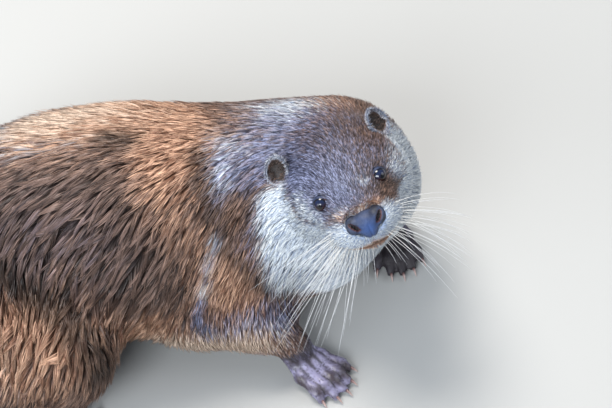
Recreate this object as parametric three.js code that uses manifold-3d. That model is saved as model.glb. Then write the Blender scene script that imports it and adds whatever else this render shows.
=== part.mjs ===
// A river otter (Lutra lutra), life size, crouched on all fours. The trunk faces +X, the back is
// humped and bends round its left side, the tail lies on the floor behind, and the raised head is
// turned to the animal's right, towards -Y. Millimetres, +Z up. The origin is on the floor, under
// the middle of the box round the animal.
//
// The flesh is one implicit solid: bones (tapered, oval capsules) and balls (ellipsoids) that blend
// into each other. It is meshed region by region, each as finely as its shape needs, and parted by
// thin cuts where the parts of the body meet. All sizes are to the tips of the coat.

import * as THREE from "three";
import { ConvexGeometry } from "three/addons/geometries/ConvexGeometry.js";
import { mergeVertices } from "three/addons/utils/BufferGeometryUtils.js";
import Module from "manifold-3d";

const wasm = await Module();
wasm.setup();

// ---------------------------------------------------------------- driving dimensions

const CUT = 0.3; // gap between two parts that meet
const FLOOR = 0; // level of the soles and of the underside of the tail
const HEAD_AT = [35, -136, 194]; // the point midway between the eyes
const HEAD_YAW = -74.6; // degrees, to the animal's right
const HEAD_PITCH = 20.2; // degrees, muzzle up
const HEAD_ROLL = 16.7; // degrees, left ear up
const EYE_SPACING = 50; // between the centres of the eyeballs
const EYE_RADIUS = 7;
const EAR_SPACING = 91; // between the middles of the ears
const EAR_HEIGHT = 24;
const EAR_WIDTH = 20;
const NOSE_WIDTH = 32;
const NOSE_HEIGHT = 28;
const TAIL_ROOT_WIDTH = 66;
const TAIL_TIP_WIDTH = 15;
const FOREPAW_LENGTH = 64;
const FOREPAW_WIDTH = 48;
const HIND_FOOT_LENGTH = 112;
const HIND_FOOT_WIDTH = 62;
const CLAW_LENGTH = 8;

// Cell sizes of the nets, from the broad trunk to the face
const CELL = { trunk: 24, neck: 20, tail: 18, tip: 10, upper: 20, lower: 16, head: 9, nose: 6 };

// ---------------------------------------------------------------- the pose

const DEGREE = Math.PI / 180;
const vec = (xyz) => new THREE.Vector3(...xyz);
const WORLD_UP = vec([0, 0, 1]);
const station = (at, wide, deep = wide) => ({ at: vec(at), wide, deep });

const spine = {
  nape: station([28, -41, 119], 53),
  neck: station([-15, -50, 106], 60),
  withers: station([-62, -64, 97], 74, 72),
  ribs: station([-108, -82, 99], 86, 82),
  back: station([-155, -95, 104], 94, 89),
  loin: station([-215, -97, 97], 91, 84),
  hips: station([-275, -100, 77], 82, 72),
  rump: station([-330, -108, 54], 55, 46),
};
const breast = {
  throat: station([50, -56, 98], 50),
  front: station([4, -92, 84], 54, 52),
  brisket: station([-70, -98, 84], 62, 58),
};

const TAIL_STATIONS = 9;
const tail = Array.from({ length: TAIL_STATIONS }, (_, i) => {
  const t = i / (TAIL_STATIONS - 1);
  const wide = THREE.MathUtils.lerp(TAIL_ROOT_WIDTH, TAIL_TIP_WIDTH, t ** 0.8) / 2;
  const deep = wide * 0.86;
  const lift = 22 * Math.max(0, 1 - t * 4) ** 2;
  return station([-375 - 345 * t, -120 - 70 * Math.sin(t * 1.9), deep - 1.5 + lift], wide, deep);
});

const limbs = {
  fore_right: {
    joints: [
      station([-58, -126, 92], 44, 46),
      station([-96, -155, 57], 36),
      station([-42, -162, 51], 29),
      station([-14, -170, 28], 18, 16),
    ],
    heading: -36,
  },
  fore_left: {
    joints: [
      station([-45, -26, 86], 42, 44),
      station([-38, 4, 56], 32),
      station([24, -2, 46], 27),
      station([70, -24, 27], 18, 16),
    ],
    heading: -74,
  },
  hind_right: {
    joints: [
      station([-278, -158, 82], 50, 48),
      station([-198, -212, 68], 40, 41),
      station([-240, -232, 48], 26, 25),
      station([-268, -240, 32], 18, 16),
    ],
    heading: -8,
  },
  hind_left: {
    joints: [
      station([-268, -50, 80], 50, 48),
      station([-200, -2, 66], 39, 40),
      station([-246, 20, 46], 26, 25),
      station([-276, 28, 32], 18, 16),
    ],
    heading: 8,
  },
};

const headGroup = new THREE.Group();
headGroup.name = "head_group";
headGroup.position.set(...HEAD_AT);
headGroup.rotation.set(HEAD_ROLL * DEGREE, -HEAD_PITCH * DEGREE, HEAD_YAW * DEGREE, "ZYX");
headGroup.updateMatrixWorld(true);
const toHead = headGroup.matrixWorld.clone().invert();

// ---------------------------------------------------------------- implicit shapes

const clamp = THREE.MathUtils.clamp;
const lerp = THREE.MathUtils.lerp;

// A tapered capsule between two stations, its section an oval: wide across, deep from top to bottom
function bone(from, to, up = WORLD_UP) {
  const axis = to.at.clone().sub(from.at);
  const length = axis.length();
  axis.normalize();
  const side = new THREE.Vector3().crossVectors(up, axis).normalize();
  const top = new THREE.Vector3().crossVectors(axis, side);
  const v = new THREE.Vector3();
  return (p) => {
    v.copy(p).sub(from.at);
    const along = v.dot(axis);
    const t = clamp(along / length, 0, 1);
    const wide = lerp(from.wide, to.wide, t);
    const deep = lerp(from.deep, to.deep, t);
    const past = (along - t * length) / ((wide + deep) / 2);
    return (Math.hypot(v.dot(side) / wide, v.dot(top) / deep, past) - 1) * Math.min(wide, deep);
  };
}

// An ellipsoid
function ball(centre, radii) {
  const c = vec(centre);
  return (p) => {
    const x = p.x - c.x;
    const y = p.y - c.y;
    const z = p.z - c.z;
    const near = Math.hypot(x / radii[0], y / radii[1], z / radii[2]);
    const slope = Math.hypot(x / radii[0] ** 2, y / radii[1] ** 2, z / radii[2] ** 2);
    return slope < 1e-9 ? -Math.min(...radii) : (near * (near - 1)) / slope;
  };
}

// Two shapes run together over a width of about k
const blend = (a, b, k) => {
  const h = Math.max(k - Math.abs(a - b), 0) / k;
  return Math.min(a, b) - h * h * k * 0.25;
};
const blendAll = (shapes, k) => (p) =>
  shapes.reduce((d, shape) => blend(d, shape(p), k), 1e6);
// A shape hollowed by another, the rim rounded over a width of about k
const carve = (a, b, k) => -blend(-a, b, k);
const bothSides = (make) => [make(1), make(-1)];

// ---------------------------------------------------------------- the head, in its own frame
// x points from the point between the eyes to the muzzle, y to the left ear, z out of the crown

const face = {
  crown: station([-62, 0, -20], 50, 40),
  brow: station([-36, 0, -17], 46, 36),
  eyes: station([0, 0, -18], 32, 22),
  muzzle: station([9, 0, -21], 24, 17),
};

const headShapes = [
  ball([-62, 0, -21], [54, 51, 42]),
  bone(face.crown, face.brow),
  bone(face.brow, face.eyes),
  bone(face.eyes, face.muzzle),
  ...bothSides((s) => ball([-38, 28 * s, -30], [31, 27, 26])), // cheeks
  bone(station([-45, 0, -46], 38, 26), station([-4, 0, -42], 22, 14)), // jaw
  bone(station([-4, 0, -42], 20, 13), station([9, 0, -41], 12, 8)), // chin
  ...bothSides((s) => ball([8, 13 * s, -29], [16, 14, 13])), // whisker pads
  ...bothSides((s) => ball([-11, 20 * s, 0], [12, 9, 6])), // brows
];
const sockets = bothSides((s) => ball([8.5, 38 * s, 6.5], [16, 15, 12]));
const headBulk = blendAll(headShapes, 11);
const local = new THREE.Vector3();
const head = (p) => {
  local.copy(p).applyMatrix4(toHead);
  return sockets.reduce((d, socket) => carve(d, socket(local), 6), headBulk(local));
};

// ---------------------------------------------------------------- the body

const pairs = (list) => list.slice(1).map((to, i) => bone(list[i], to));
const trunk = blendAll(pairs(Object.values(spine)), 26);
const tailShape = blendAll(pairs([spine.hips, spine.rump, ...tail]), 4);

const chest = blendAll(pairs(Object.values(breast)), 20);
const limbShapes = Object.values(limbs).map(({ joints }) => blendAll(pairs(joints), 12));

function flesh(p) {
  let d = blend(blend(trunk(p), chest(p), 30), tailShape(p), 18);
  for (const limb of limbShapes) d = blend(d, limb(p), 24);
  return blend(d, head(p), 16);
}

// ---------------------------------------------------------------- meshing and cutting

const solidOf = (positions, triangles) =>
  new wasm.Manifold(
    new wasm.Mesh({
      numProp: 3,
      vertProperties: new Float32Array(positions),
      triVerts: new Uint32Array(triangles),
    }),
  );

function fromGeometry(geometry, matrix = new THREE.Matrix4()) {
  const bare = geometry.clone().applyMatrix4(matrix);
  bare.deleteAttribute("normal");
  bare.deleteAttribute("uv");
  const merged = mergeVertices(bare, 1e-3);
  return solidOf(merged.attributes.position.array, merged.index.array);
}

function toGeometry(solid) {
  const { vertProperties, triVerts, numProp, numVert } = solid.getMesh();
  const positions = new Float32Array(numVert * 3);
  for (let i = 0; i < numVert; i++) {
    positions.set(vertProperties.subarray(i * numProp, i * numProp + 3), i * 3);
  }
  const geometry = new THREE.BufferGeometry();
  geometry.setAttribute("position", new THREE.BufferAttribute(positions, 3));
  geometry.setIndex(new THREE.BufferAttribute(new Uint32Array(triVerts), 1));
  geometry.computeVertexNormals();
  return geometry;
}

// Moves p along the slope of the distance until it lies on the surface
function settle(distance, p) {
  const STEP = 0.05;
  const probe = new THREE.Vector3();
  for (let pass = 0; pass < 4; pass++) {
    const d = distance(p);
    const slope = new THREE.Vector3(
      distance(probe.set(p.x + STEP, p.y, p.z)) - d,
      distance(probe.set(p.x, p.y + STEP, p.z)) - d,
      distance(probe.set(p.x, p.y, p.z + STEP)) - d,
    ).divideScalar(STEP);
    p.addScaledVector(slope, -d / Math.max(slope.lengthSq(), 0.05));
  }
}

// A net of quads over the surface where distance is 0, inside a box: one vertex in each cell that
// the surface crosses
function netOf(distance, box, cell) {
  const size = box.getSize(new THREE.Vector3());
  const n = size.toArray().map((s) => Math.ceil(s / cell) + 3);
  const start = box.min.clone().subScalar(cell);
  const centre = box.getCenter(new THREE.Vector3());
  const inBox = (p) =>
    Math.max(
      Math.abs(p.x - centre.x) - size.x / 2,
      Math.abs(p.y - centre.y) - size.y / 2,
      Math.abs(p.z - centre.z) - size.z / 2,
    );
  const shape = (p) => Math.max(distance(p), inBox(p));
  const at = (i, j, k) => (k * n[1] + j) * n[0] + i;
  const corner = (i, j, k) => new THREE.Vector3(i, j, k).multiplyScalar(cell).add(start);
  const value = new Float64Array(n[0] * n[1] * n[2]);
  for (let k = 0; k < n[2]; k++)
    for (let j = 0; j < n[1]; j++)
      for (let i = 0; i < n[0]; i++) value[at(i, j, k)] = shape(corner(i, j, k));

  const CORNERS = [0, 1, 2, 3, 4, 5, 6, 7].map((c) => [c & 1, (c >> 1) & 1, c >> 2]);
  const EDGES = CORNERS.flatMap((a, ai) =>
    [1, 2, 4].filter((bit) => !(ai & bit)).map((bit) => [ai, ai | bit]),
  );
  const positions = [];
  const vertexIn = new Map();
  for (let k = 0; k < n[2] - 1; k++)
    for (let j = 0; j < n[1] - 1; j++)
      for (let i = 0; i < n[0] - 1; i++) {
        const inside = CORNERS.map(([a, b, c]) => value[at(i + a, j + b, k + c)] < 0);
        if (inside.every((x) => x === inside[0])) continue;
        const sum = new THREE.Vector3();
        let crossings = 0;
        for (const [a, b] of EDGES) {
          if (inside[a] === inside[b]) continue;
          const [pa, pb] = [a, b].map((c) =>
            corner(i + CORNERS[c][0], j + CORNERS[c][1], k + CORNERS[c][2]),
          );
          const [va, vb] = [a, b].map(
            (c) => value[at(i + CORNERS[c][0], j + CORNERS[c][1], k + CORNERS[c][2])],
          );
          sum.add(pa.lerp(pb, va / (va - vb)));
          crossings++;
        }
        const p = sum.divideScalar(crossings);
        if (inBox(p) < -cell) settle(distance, p);
        vertexIn.set(at(i, j, k), positions.length / 3);
        positions.push(p.x, p.y, p.z);
      }

  const triangles = [];
  const step = [at(1, 0, 0), at(0, 1, 0), at(0, 0, 1)];
  for (const [cellIndex] of vertexIn) {
    for (let axis = 0; axis < 3; axis++) {
      const [u, v] = [step[(axis + 1) % 3], step[(axis + 2) % 3]];
      const low = value[cellIndex] < 0;
      const high = value[cellIndex + step[axis]] < 0;
      if (low === high) continue;
      const quad = [cellIndex - u - v, cellIndex - v, cellIndex, cellIndex - u].map((c) =>
        vertexIn.get(c),
      );
      if (quad.includes(undefined)) continue;
      const [a, b, c, d] = low ? quad : quad.reverse();
      triangles.push(a, b, c, a, c, d);
    }
  }
  return solidOf(positions, triangles);
}

// A large block that fills one side of a plane, the side its normal points to
function sideOf(point, normal, gap = CUT / 2) {
  const SPAN = 2400;
  const n = normal.clone().normalize();
  const block = new THREE.BoxGeometry(SPAN, SPAN, SPAN);
  const turn = new THREE.Quaternion().setFromUnitVectors(WORLD_UP, n);
  const at = point.clone().addScaledVector(n, SPAN / 2 + gap);
  return fromGeometry(
    block,
    new THREE.Matrix4().compose(at, turn, new THREE.Vector3(1, 1, 1)),
  );
}

const aboveFloor = sideOf(vec([0, 0, FLOOR]), WORLD_UP, 0);

const REACH = new THREE.Box3(vec([-800, -340, -60]), vec([200, 120, 300])); // beyond all of the body

function boxRound(points, reach) {
  const box = new THREE.Box3();
  for (const p of points) box.expandByPoint(p);
  return box.expandByScalar(reach);
}

function fromBox(box) {
  const middle = box.getCenter(new THREE.Vector3());
  const place = new THREE.Matrix4().makeTranslation(...middle);
  return fromGeometry(new THREE.BoxGeometry(...box.getSize(new THREE.Vector3())), place);
}

// ---------------------------------------------------------------- the regions of the parts
// A region is what lies inside all its walls, each a plane given by a point and its normal inwards.
// Parts are claimed in order, and a later part leaves what the regions before it hold.

const inHead = headGroup.matrixWorld;
const onHead = ([x, y, z], [u, v, w]) => [
  vec([x, y, z]).applyMatrix4(inHead),
  vec([u, v, w]).transformDirection(inHead),
];
const onBody = (point, normal) => [vec(point), vec(normal)];
const towards = (from, to, at) => [at.clone(), to.clone().sub(from)];

const regions = {
  head: [
    onHead([-84, 0, 0], [1, 0, 0.3]), // behind the ears
    onHead([0, 0, -58], [0.25, 0, 1]), // under the jaw
    onHead([0, 66, 0], [-0.2, -1, 0]),
    onHead([0, -58, 0], [-0.25, 1, 0]),
  ],
  fore_right: [
    onBody([0, -118, 0], [0.1, -1, -0.25]),
    onBody([-140, -118, 0], [1, 0.3, 0]),
    onBody([0, 0, 104], [0, -0.5, -1]),
    onBody([10, -118, 60], [-1, -0.6, -0.2]),
  ],
  fore_left: [
    onBody([-20, -44, 0], [0.12, 1, -0.2]),
    onBody([-100, 0, 0], [1, 0.2, 0]),
    onBody([0, 0, 88], [0.1, 0.3, -1]),
  ],
  hind_right: [
    onBody([-250, -156, 0], [-0.2, -1, -0.15]),
    onBody([-222, -184, 100], [-0.5, -1, -0.1]),
    onBody([-345, 0, 0], [1, 0, 0]),
  ],
  hind_left: [
    onBody([-250, -36, 0], [-0.2, 1, -0.15]),
    onBody([-222, -10, 100], [-0.5, 1, -0.1]),
    onBody([-345, 0, 0], [1, 0, 0]),
  ],
  neck: [onBody([-34, -56, 104], [1, 0.1, 0.25])],
};
const tailWalls = {
  root: towards(spine.rump.at, tail[0].at, spine.rump.at.clone().lerp(tail[0].at, 0.7)),
  middle: towards(tail[2].at, tail[4].at, tail[3].at),
  tip: towards(tail[5].at, tail[7].at, tail[6].at),
};
const past = ([point, normal]) => sideOf(point, normal);
const before = ([point, normal]) => sideOf(point, normal.clone().negate());
const within = (walls, grow = 0) =>
  walls
    .map(([point, normal]) => sideOf(point, normal, -grow))
    .reduce((region, wall) => region.intersect(wall));

// ---------------------------------------------------------------- materials and meshes

const material = (colour, roughness) =>
  new THREE.MeshStandardMaterial({ color: colour, roughness, metalness: 0 });
const coatBrown = material(0x6f4e3b, 0.75);
const coatGrey = material(0x7d7068, 0.75);
const bareSkin = material(0x5a453f, 0.6);
const noseSkin = material(0x23252e, 0.35);
const eyeGlass = material(0x120c0a, 0.08);

const otter = new THREE.Group();
otter.add(headGroup);

const largest = (solid) => solid.decompose().sort((a, b) => b.volume() - a.volume())[0];

function addPart(name, solid, look, parent = otter) {
  const mesh = new THREE.Mesh(toGeometry(largest(solid)), look);
  mesh.name = name;
  parent.add(mesh);
}

// ---------------------------------------------------------------- eyes, nose and ears

const SIDES = { left: 1, right: -1 };

const eyeSolid = (s) =>
  fromGeometry(
    new THREE.SphereGeometry(EYE_RADIUS, 10, 6),
    new THREE.Matrix4().makeTranslation(-2.5, (EYE_SPACING / 2) * s, -2),
  );

const noseShape = blendAll(
  [
    ball([25, 0, -17], [9.5, NOSE_WIDTH * 0.32, NOSE_HEIGHT / 2]),
    ...bothSides((s) => ball([23, NOSE_WIDTH * 0.3 * s, -15], [10, 6.5, 9.5])),
  ],
  5,
);
const noseSolid = () => netOf(noseShape, boxRound([vec([24, 0, -16])], 24), CELL.nose);

// An ear is a shallow cup, open forwards and outwards
function earSolid(s) {
  const shell = fromGeometry(
    new THREE.SphereGeometry(1, 9, 6),
    new THREE.Matrix4().makeScale(5.5, EAR_WIDTH / 2, EAR_HEIGHT / 2),
  );
  const hollow = fromGeometry(
    new THREE.SphereGeometry(1, 7, 5),
    new THREE.Matrix4().compose(
      vec([6.2, 0, 1]),
      new THREE.Quaternion(),
      vec([6.5, EAR_WIDTH / 2 - 2.6, EAR_HEIGHT / 2 - 2.6]),
    ),
  );
  const place = new THREE.Matrix4().compose(
    vec([-57, (EAR_SPACING / 2) * s, 9]),
    new THREE.Quaternion().setFromEuler(new THREE.Euler(-0.55 * s, -0.15, 0.5 * s)),
    vec([1, 1, 1]),
  );
  return shell.subtract(hollow).transform(place.elements);
}

// The convex body round some solids
function convexRound(solids) {
  const corners = solids.flatMap((solid) => {
    const { vertProperties, numProp, numVert } = solid.getMesh();
    return Array.from({ length: numVert }, (_, i) =>
      vec(vertProperties.subarray(i * numProp, i * numProp + 3)),
    );
  });
  return fromGeometry(new ConvexGeometry(corners));
}

// Each of them leaves a hollow of its own shape in the head, wider by the cut
function hollowFor(solid, gap) {
  const { min, max } = solid.boundingBox();
  const size = vec(max).sub(vec(min));
  const middle = vec(min).addScaledVector(size, 0.5);
  const scale = size.toArray().map((length) => 1 + (2 * gap) / length);
  const around = convexRound([solid]).translate(middle.clone().negate().toArray());
  return around.scale(scale).translate(middle.toArray()).transform(inHead.elements);
}

const hollows = [];
function addOrgan(name, solid, look, gap) {
  addPart(name, solid, look, headGroup);
  hollows.push(hollowFor(solid, gap));
}
for (const [side, s] of Object.entries(SIDES)) {
  addOrgan(`eye_${side}`, eyeSolid(s), eyeGlass, CUT);
  addOrgan(`ear_${side}`, earSolid(s), coatGrey, 2 * CUT);
}
addOrgan("nose", noseSolid(), noseSkin, 2 * CUT);

// ---------------------------------------------------------------- paws
// In a paw's own frame x points to the toes, y to its left and z up from the floor

// A tapered toe or claw with round ends, turned about its length
function spindle(from, to, thick, thin, sides) {
  const axis = vec(to).sub(vec(from));
  const length = axis.length();
  const profile = [[0, -thick * 0.8], [thick, 0], [thin, length], [0, length + thin]].map(
    ([r, y]) => new THREE.Vector2(r, y),
  );
  const matrix = new THREE.Matrix4().compose(
    vec(from),
    new THREE.Quaternion().setFromUnitVectors(vec([0, 1, 0]), axis.normalize()),
    new THREE.Vector3(1, 1, 1),
  );
  return fromGeometry(new THREE.LatheGeometry(profile, sides), matrix);
}

const oval = (centre, radii, sides, rings) =>
  fromGeometry(
    new THREE.SphereGeometry(1, sides, rings),
    new THREE.Matrix4().compose(vec(centre), new THREE.Quaternion(), vec(radii)),
  );

const TOES = 5;
const PAWS = {
  fore: { length: FOREPAW_LENGTH, width: FOREPAW_WIDTH, palm: 0.42, reach: 0.9, thick: 6.2 },
  hind: { length: HIND_FOOT_LENGTH, width: HIND_FOOT_WIDTH, palm: 0.5, reach: 0.92, thick: 6.6 },
};

function pawSolid({ length, width, palm, reach, thick }, joint, heading) {
  const palmEnd = length * palm;
  let paw = convexRound([
    oval([0, 0, joint.at.z], [joint.deep, joint.deep, joint.deep], 7, 4),
    oval([palmEnd * 0.7, 0, 11], [palmEnd * 0.6, width * 0.4, 11], 9, 4),
    oval([length * 0.6, 0, 4], [length * 0.3, width * 0.42, 4.5], 9, 3),
  ]);
  for (let toe = 0; toe < TOES; toe++) {
    const across = (toe / (TOES - 1)) * 2 - 1;
    const root = [palmEnd * 0.85, across * width * 0.3, 9];
    const tip = [length * (reach - 0.16 * across ** 2), across * width * 0.43, thick - 2];
    const nail = [tip[0] + CLAW_LENGTH, tip[1] * 1.05, 2.5];
    paw = paw.add(spindle(root, tip, thick + 0.6, thick - 1.2, 5));
    paw = paw.add(spindle(tip, nail, 2.6, 0.01, 3));
  }
  const place = new THREE.Matrix4().makeRotationZ(heading * DEGREE);
  place.setPosition(joint.at.x, joint.at.y, FLOOR - 1.2);
  return paw.transform(place.elements).intersect(aboveFloor);
}

// ---------------------------------------------------------------- the parts of flesh

// The flesh inside a closed cutter. The net starts two cells outside it, so that no cut face meets
// the unsettled rim of the net.
function fleshIn(cutter, cell) {
  const { min, max } = cutter.boundingBox();
  const box = new THREE.Box3(vec(min), vec(max)).expandByScalar(2 * cell).intersect(REACH);
  return netOf(flesh, box, cell).intersect(cutter).intersect(aboveFloor);
}

const claimed = [];
const unclaimed = (solid) => claimed.reduce((left, region) => left.subtract(region), solid);

// Head
const headReach = boxRound([vec([-40, 0, -20]).applyMatrix4(inHead)], 112);
const headRegion = within(regions.head).intersect(fromBox(headReach));
const headSolid = hollows.reduce(
  (solid, hollow) => solid.subtract(hollow),
  fleshIn(headRegion, CELL.head),
);
addPart("head", headSolid, coatGrey);
claimed.push(within(regions.head, CUT).intersect(fromBox(headReach)));

// Legs, each parted at the elbow or knee and at the wrist or hock
const LEG_PARTS = { fore: ["upper_arm", "forearm", "paw"], hind: ["thigh", "shank", "foot"] };
for (const [name, { joints, heading }] of Object.entries(limbs)) {
  const kind = name.split("_")[0];
  const [upperName, lowerName, pawName] = LEG_PARTS[kind];
  const reach = boxRound(joints.map((joint) => joint.at), 80);
  const leg = within(regions[name]).intersect(fromBox(reach));
  const down = joints[1].at.clone().sub(joints[0].at).normalize();
  const on = joints[2].at.clone().sub(joints[1].at).normalize();
  const elbow = [joints[1].at.clone().addScaledVector(on, 8), down.add(on)];
  const across = joints[3].at.clone().sub(joints[2].at).setZ(0).normalize();
  const wrist = [joints[3].at, across.multiplyScalar(0.35).sub(WORLD_UP)];
  const upper = fleshIn(leg.intersect(before(elbow)), CELL.upper);
  const beyond = fleshIn(leg.intersect(past(elbow)), CELL.lower);
  const lower = beyond.intersect(before(wrist));
  addPart(`${name}_${upperName}`, unclaimed(upper), coatBrown);
  addPart(`${name}_${lowerName}`, unclaimed(lower), coatBrown);
  const paw = beyond.add(pawSolid(PAWS[kind], joints[3], heading)).intersect(past(wrist));
  addPart(`${name}_${pawName}`, unclaimed(paw), bareSkin);
  claimed.push(within(regions[name], CUT).intersect(fromBox(reach)));
}

// Neck and trunk
const neckReach = boxRound([spine.nape.at, spine.neck.at, breast.throat.at, breast.front.at], 75);
const neckRegion = within(regions.neck).intersect(fromBox(neckReach));
addPart("neck", unclaimed(fleshIn(neckRegion, CELL.neck)), coatBrown);
claimed.push(within(regions.neck, CUT).intersect(fromBox(neckReach)));

const trunkReach = boxRound([spine.withers.at, breast.brisket.at, spine.rump.at, tail[0].at], 110);
const trunkRegion = before(tailWalls.root).intersect(fromBox(trunkReach));
addPart("trunk", unclaimed(fleshIn(trunkRegion, CELL.trunk)), coatBrown);

// Tail
const tailReach = boxRound([spine.rump.at, ...tail.map(({ at }) => at)], 42);
const tailRegion = past(tailWalls.root).intersect(fromBox(tailReach));
const tailEnd = tailRegion.intersect(past(tailWalls.middle));
const tailRoot = tailRegion.intersect(before(tailWalls.middle));
addPart("tail_root", fleshIn(tailRoot, CELL.tail), coatBrown);
addPart("tail_middle", fleshIn(tailEnd.intersect(before(tailWalls.tip)), CELL.tail), coatBrown);
addPart("tail_tip", fleshIn(tailEnd.intersect(past(tailWalls.tip)), CELL.tip), coatBrown);

// The origin goes under the middle of the box round the animal
const around = new THREE.Box3().setFromObject(otter).getCenter(new THREE.Vector3());
otter.position.set(-around.x, -around.y, -FLOOR);

export default otter;
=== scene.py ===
"""A river otter, life size, lying with its head raised and turned: one skin, a coat of solid tufts,
ears, lids, eyes, nose pad, claws and whiskers over the frame of the part."""

import math

import bpy
import numpy as np
from mathutils import Euler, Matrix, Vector
from mathutils.kdtree import KDTree


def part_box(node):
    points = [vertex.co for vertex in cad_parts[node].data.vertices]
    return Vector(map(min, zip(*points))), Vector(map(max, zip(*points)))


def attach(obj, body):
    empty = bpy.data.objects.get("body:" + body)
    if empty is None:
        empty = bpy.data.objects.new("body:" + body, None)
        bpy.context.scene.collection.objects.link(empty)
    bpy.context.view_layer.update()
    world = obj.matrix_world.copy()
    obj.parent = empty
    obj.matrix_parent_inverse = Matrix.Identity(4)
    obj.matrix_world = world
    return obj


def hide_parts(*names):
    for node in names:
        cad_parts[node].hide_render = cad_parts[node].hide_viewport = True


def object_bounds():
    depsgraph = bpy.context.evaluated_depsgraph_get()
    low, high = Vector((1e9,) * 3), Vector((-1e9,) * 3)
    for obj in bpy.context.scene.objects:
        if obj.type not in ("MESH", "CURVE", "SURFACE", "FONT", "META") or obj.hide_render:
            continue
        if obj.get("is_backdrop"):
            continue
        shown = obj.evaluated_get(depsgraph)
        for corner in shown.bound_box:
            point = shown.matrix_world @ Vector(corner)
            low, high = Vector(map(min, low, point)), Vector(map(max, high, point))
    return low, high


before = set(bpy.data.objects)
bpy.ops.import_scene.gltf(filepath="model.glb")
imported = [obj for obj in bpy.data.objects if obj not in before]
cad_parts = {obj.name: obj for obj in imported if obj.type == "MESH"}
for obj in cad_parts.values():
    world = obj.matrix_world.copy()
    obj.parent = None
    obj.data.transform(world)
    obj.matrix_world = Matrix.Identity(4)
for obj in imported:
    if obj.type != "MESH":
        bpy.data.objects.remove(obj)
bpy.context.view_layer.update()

# ---- The lie of the coat
# An otter's hair lies back from the nose, over the crown and down the back and limbs. It is written
# down as combing strokes: where each is, which way the hair lies there, and how deep, long and
# wide its tufts are. Positions are in millimetres, on the floor under the otter or in its head.

EYES_ON_FLOOR = np.array((35.1, -134.2, 191.3))  # the point between the eyes, as the pose was set out
HEAD_TURNS = (16.7, -20.2, -74.6)  # degrees of roll, pitch and yaw
EYES_IN_HEAD = np.array((-2.5, 0.0, -2.0))


def middle_of(node):
    low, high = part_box(node)
    return np.array((low + high) / 2) * 1000


between_eyes = (middle_of("eye_left") + middle_of("eye_right")) / 2
stance = between_eyes - EYES_ON_FLOOR
head_turn = np.array(Euler([math.radians(a) for a in HEAD_TURNS], "XYZ").to_matrix())
head_at = between_eyes - head_turn @ EYES_IN_HEAD


def from_head(points):
    return head_at + np.asarray(points, float) @ head_turn.T


def to_head(points):
    return (np.asarray(points, float) - head_at) @ head_turn


def unit(vectors):
    return vectors / np.maximum(np.linalg.norm(vectors, axis=-1, keepdims=True), 1e-9)


# x, y, z, half width, half depth, then the coat's depth, length, tuft width and lift
SPINE = [
    (40, -75, 150, 48, 42, 2.6, 8.5, 0.52, 0.25),
    (28, -41, 119, 53, 53, 3.4, 9.6, 0.56, 0.24),
    (-15, -50, 106, 60, 60, 4.6, 13, 0.84, 0.19),
    (-62, -64, 97, 74, 72, 5.9, 16, 1.02, 0.21),
    (-108, -82, 99, 86, 82, 6.6, 19, 1.14, 0.22),
    (-155, -95, 104, 94, 89, 6.6, 20, 1.2, 0.22),
    (-215, -97, 97, 91, 84, 6.6, 20, 1.2, 0.22),
    (-275, -100, 77, 82, 72, 6.3, 19, 1.2, 0.22),
    (-330, -108, 54, 55, 46, 5.3, 15, 1.14, 0.19),
] + [
    (
        -375 - 345 * t,
        -120 - 70 * math.sin(1.9 * t),
        0.43 * (66 - 51 * t**0.8) - 1.5 + 22 * max(0, 1 - 4 * t) ** 2,
        (66 - 51 * t**0.8) / 2,
        0.43 * (66 - 51 * t**0.8),
        4.6 - 2.6 * t,
        13 - 4 * t,
        1.05 - 0.3 * t,
        0.16,
    )
    for t in np.linspace(0, 1, 9)
]
LIMBS = {
    "fore_right": [
        (-58, -126, 92, 44, 46, 5.3, 16, 1.02, 0.21),
        (-96, -155, 57, 36, 36, 4.3, 14, 0.96, 0.21),
        (-42, -162, 51, 29, 29, 3.0, 10, 0.78, 0.18),
        (-14, -170, 28, 18, 16, 1.3, 6, 0.54, 0.12),
    ],
    "fore_left": [
        (-45, -26, 86, 42, 44, 4.6, 14, 0.96, 0.21),
        (-38, 4, 56, 32, 32, 3.3, 11, 0.84, 0.19),
        (24, -2, 46, 27, 27, 2.3, 8, 0.72, 0.16),
        (70, -24, 27, 18, 16, 1.1, 4, 0.54, 0.12),
    ],
    "hind_right": [
        (-278, -158, 82, 50, 48, 5.9, 18, 1.14, 0.21),
        (-198, -212, 68, 40, 41, 4.6, 15, 1.08, 0.21),
        (-240, -232, 48, 26, 25, 3.0, 10, 0.78, 0.16),
        (-268, -240, 32, 18, 16, 1.3, 6, 0.6, 0.12),
    ],
    "hind_left": [
        (-268, -50, 80, 50, 48, 5.9, 18, 1.14, 0.21),
        (-200, -2, 66, 39, 40, 4.6, 15, 1.08, 0.21),
        (-246, 20, 46, 26, 25, 3.0, 10, 0.78, 0.16),
        (-276, 28, 32, 18, 16, 1.3, 6, 0.6, 0.12),
    ],
}
# heading in degrees, length, width, how much of it is palm, how far the toes reach, toe thickness
PAWS = {
    "fore_right": (-36, 64, 48, 0.42, 0.92, 5.5),
    "fore_left": (-74, 64, 48, 0.42, 0.92, 5.5),
    "hind_right": (-8, 112, 62, 0.50, 0.92, 6.0),
    "hind_left": (8, 112, 62, 0.50, 0.92, 6.0),
}
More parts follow.
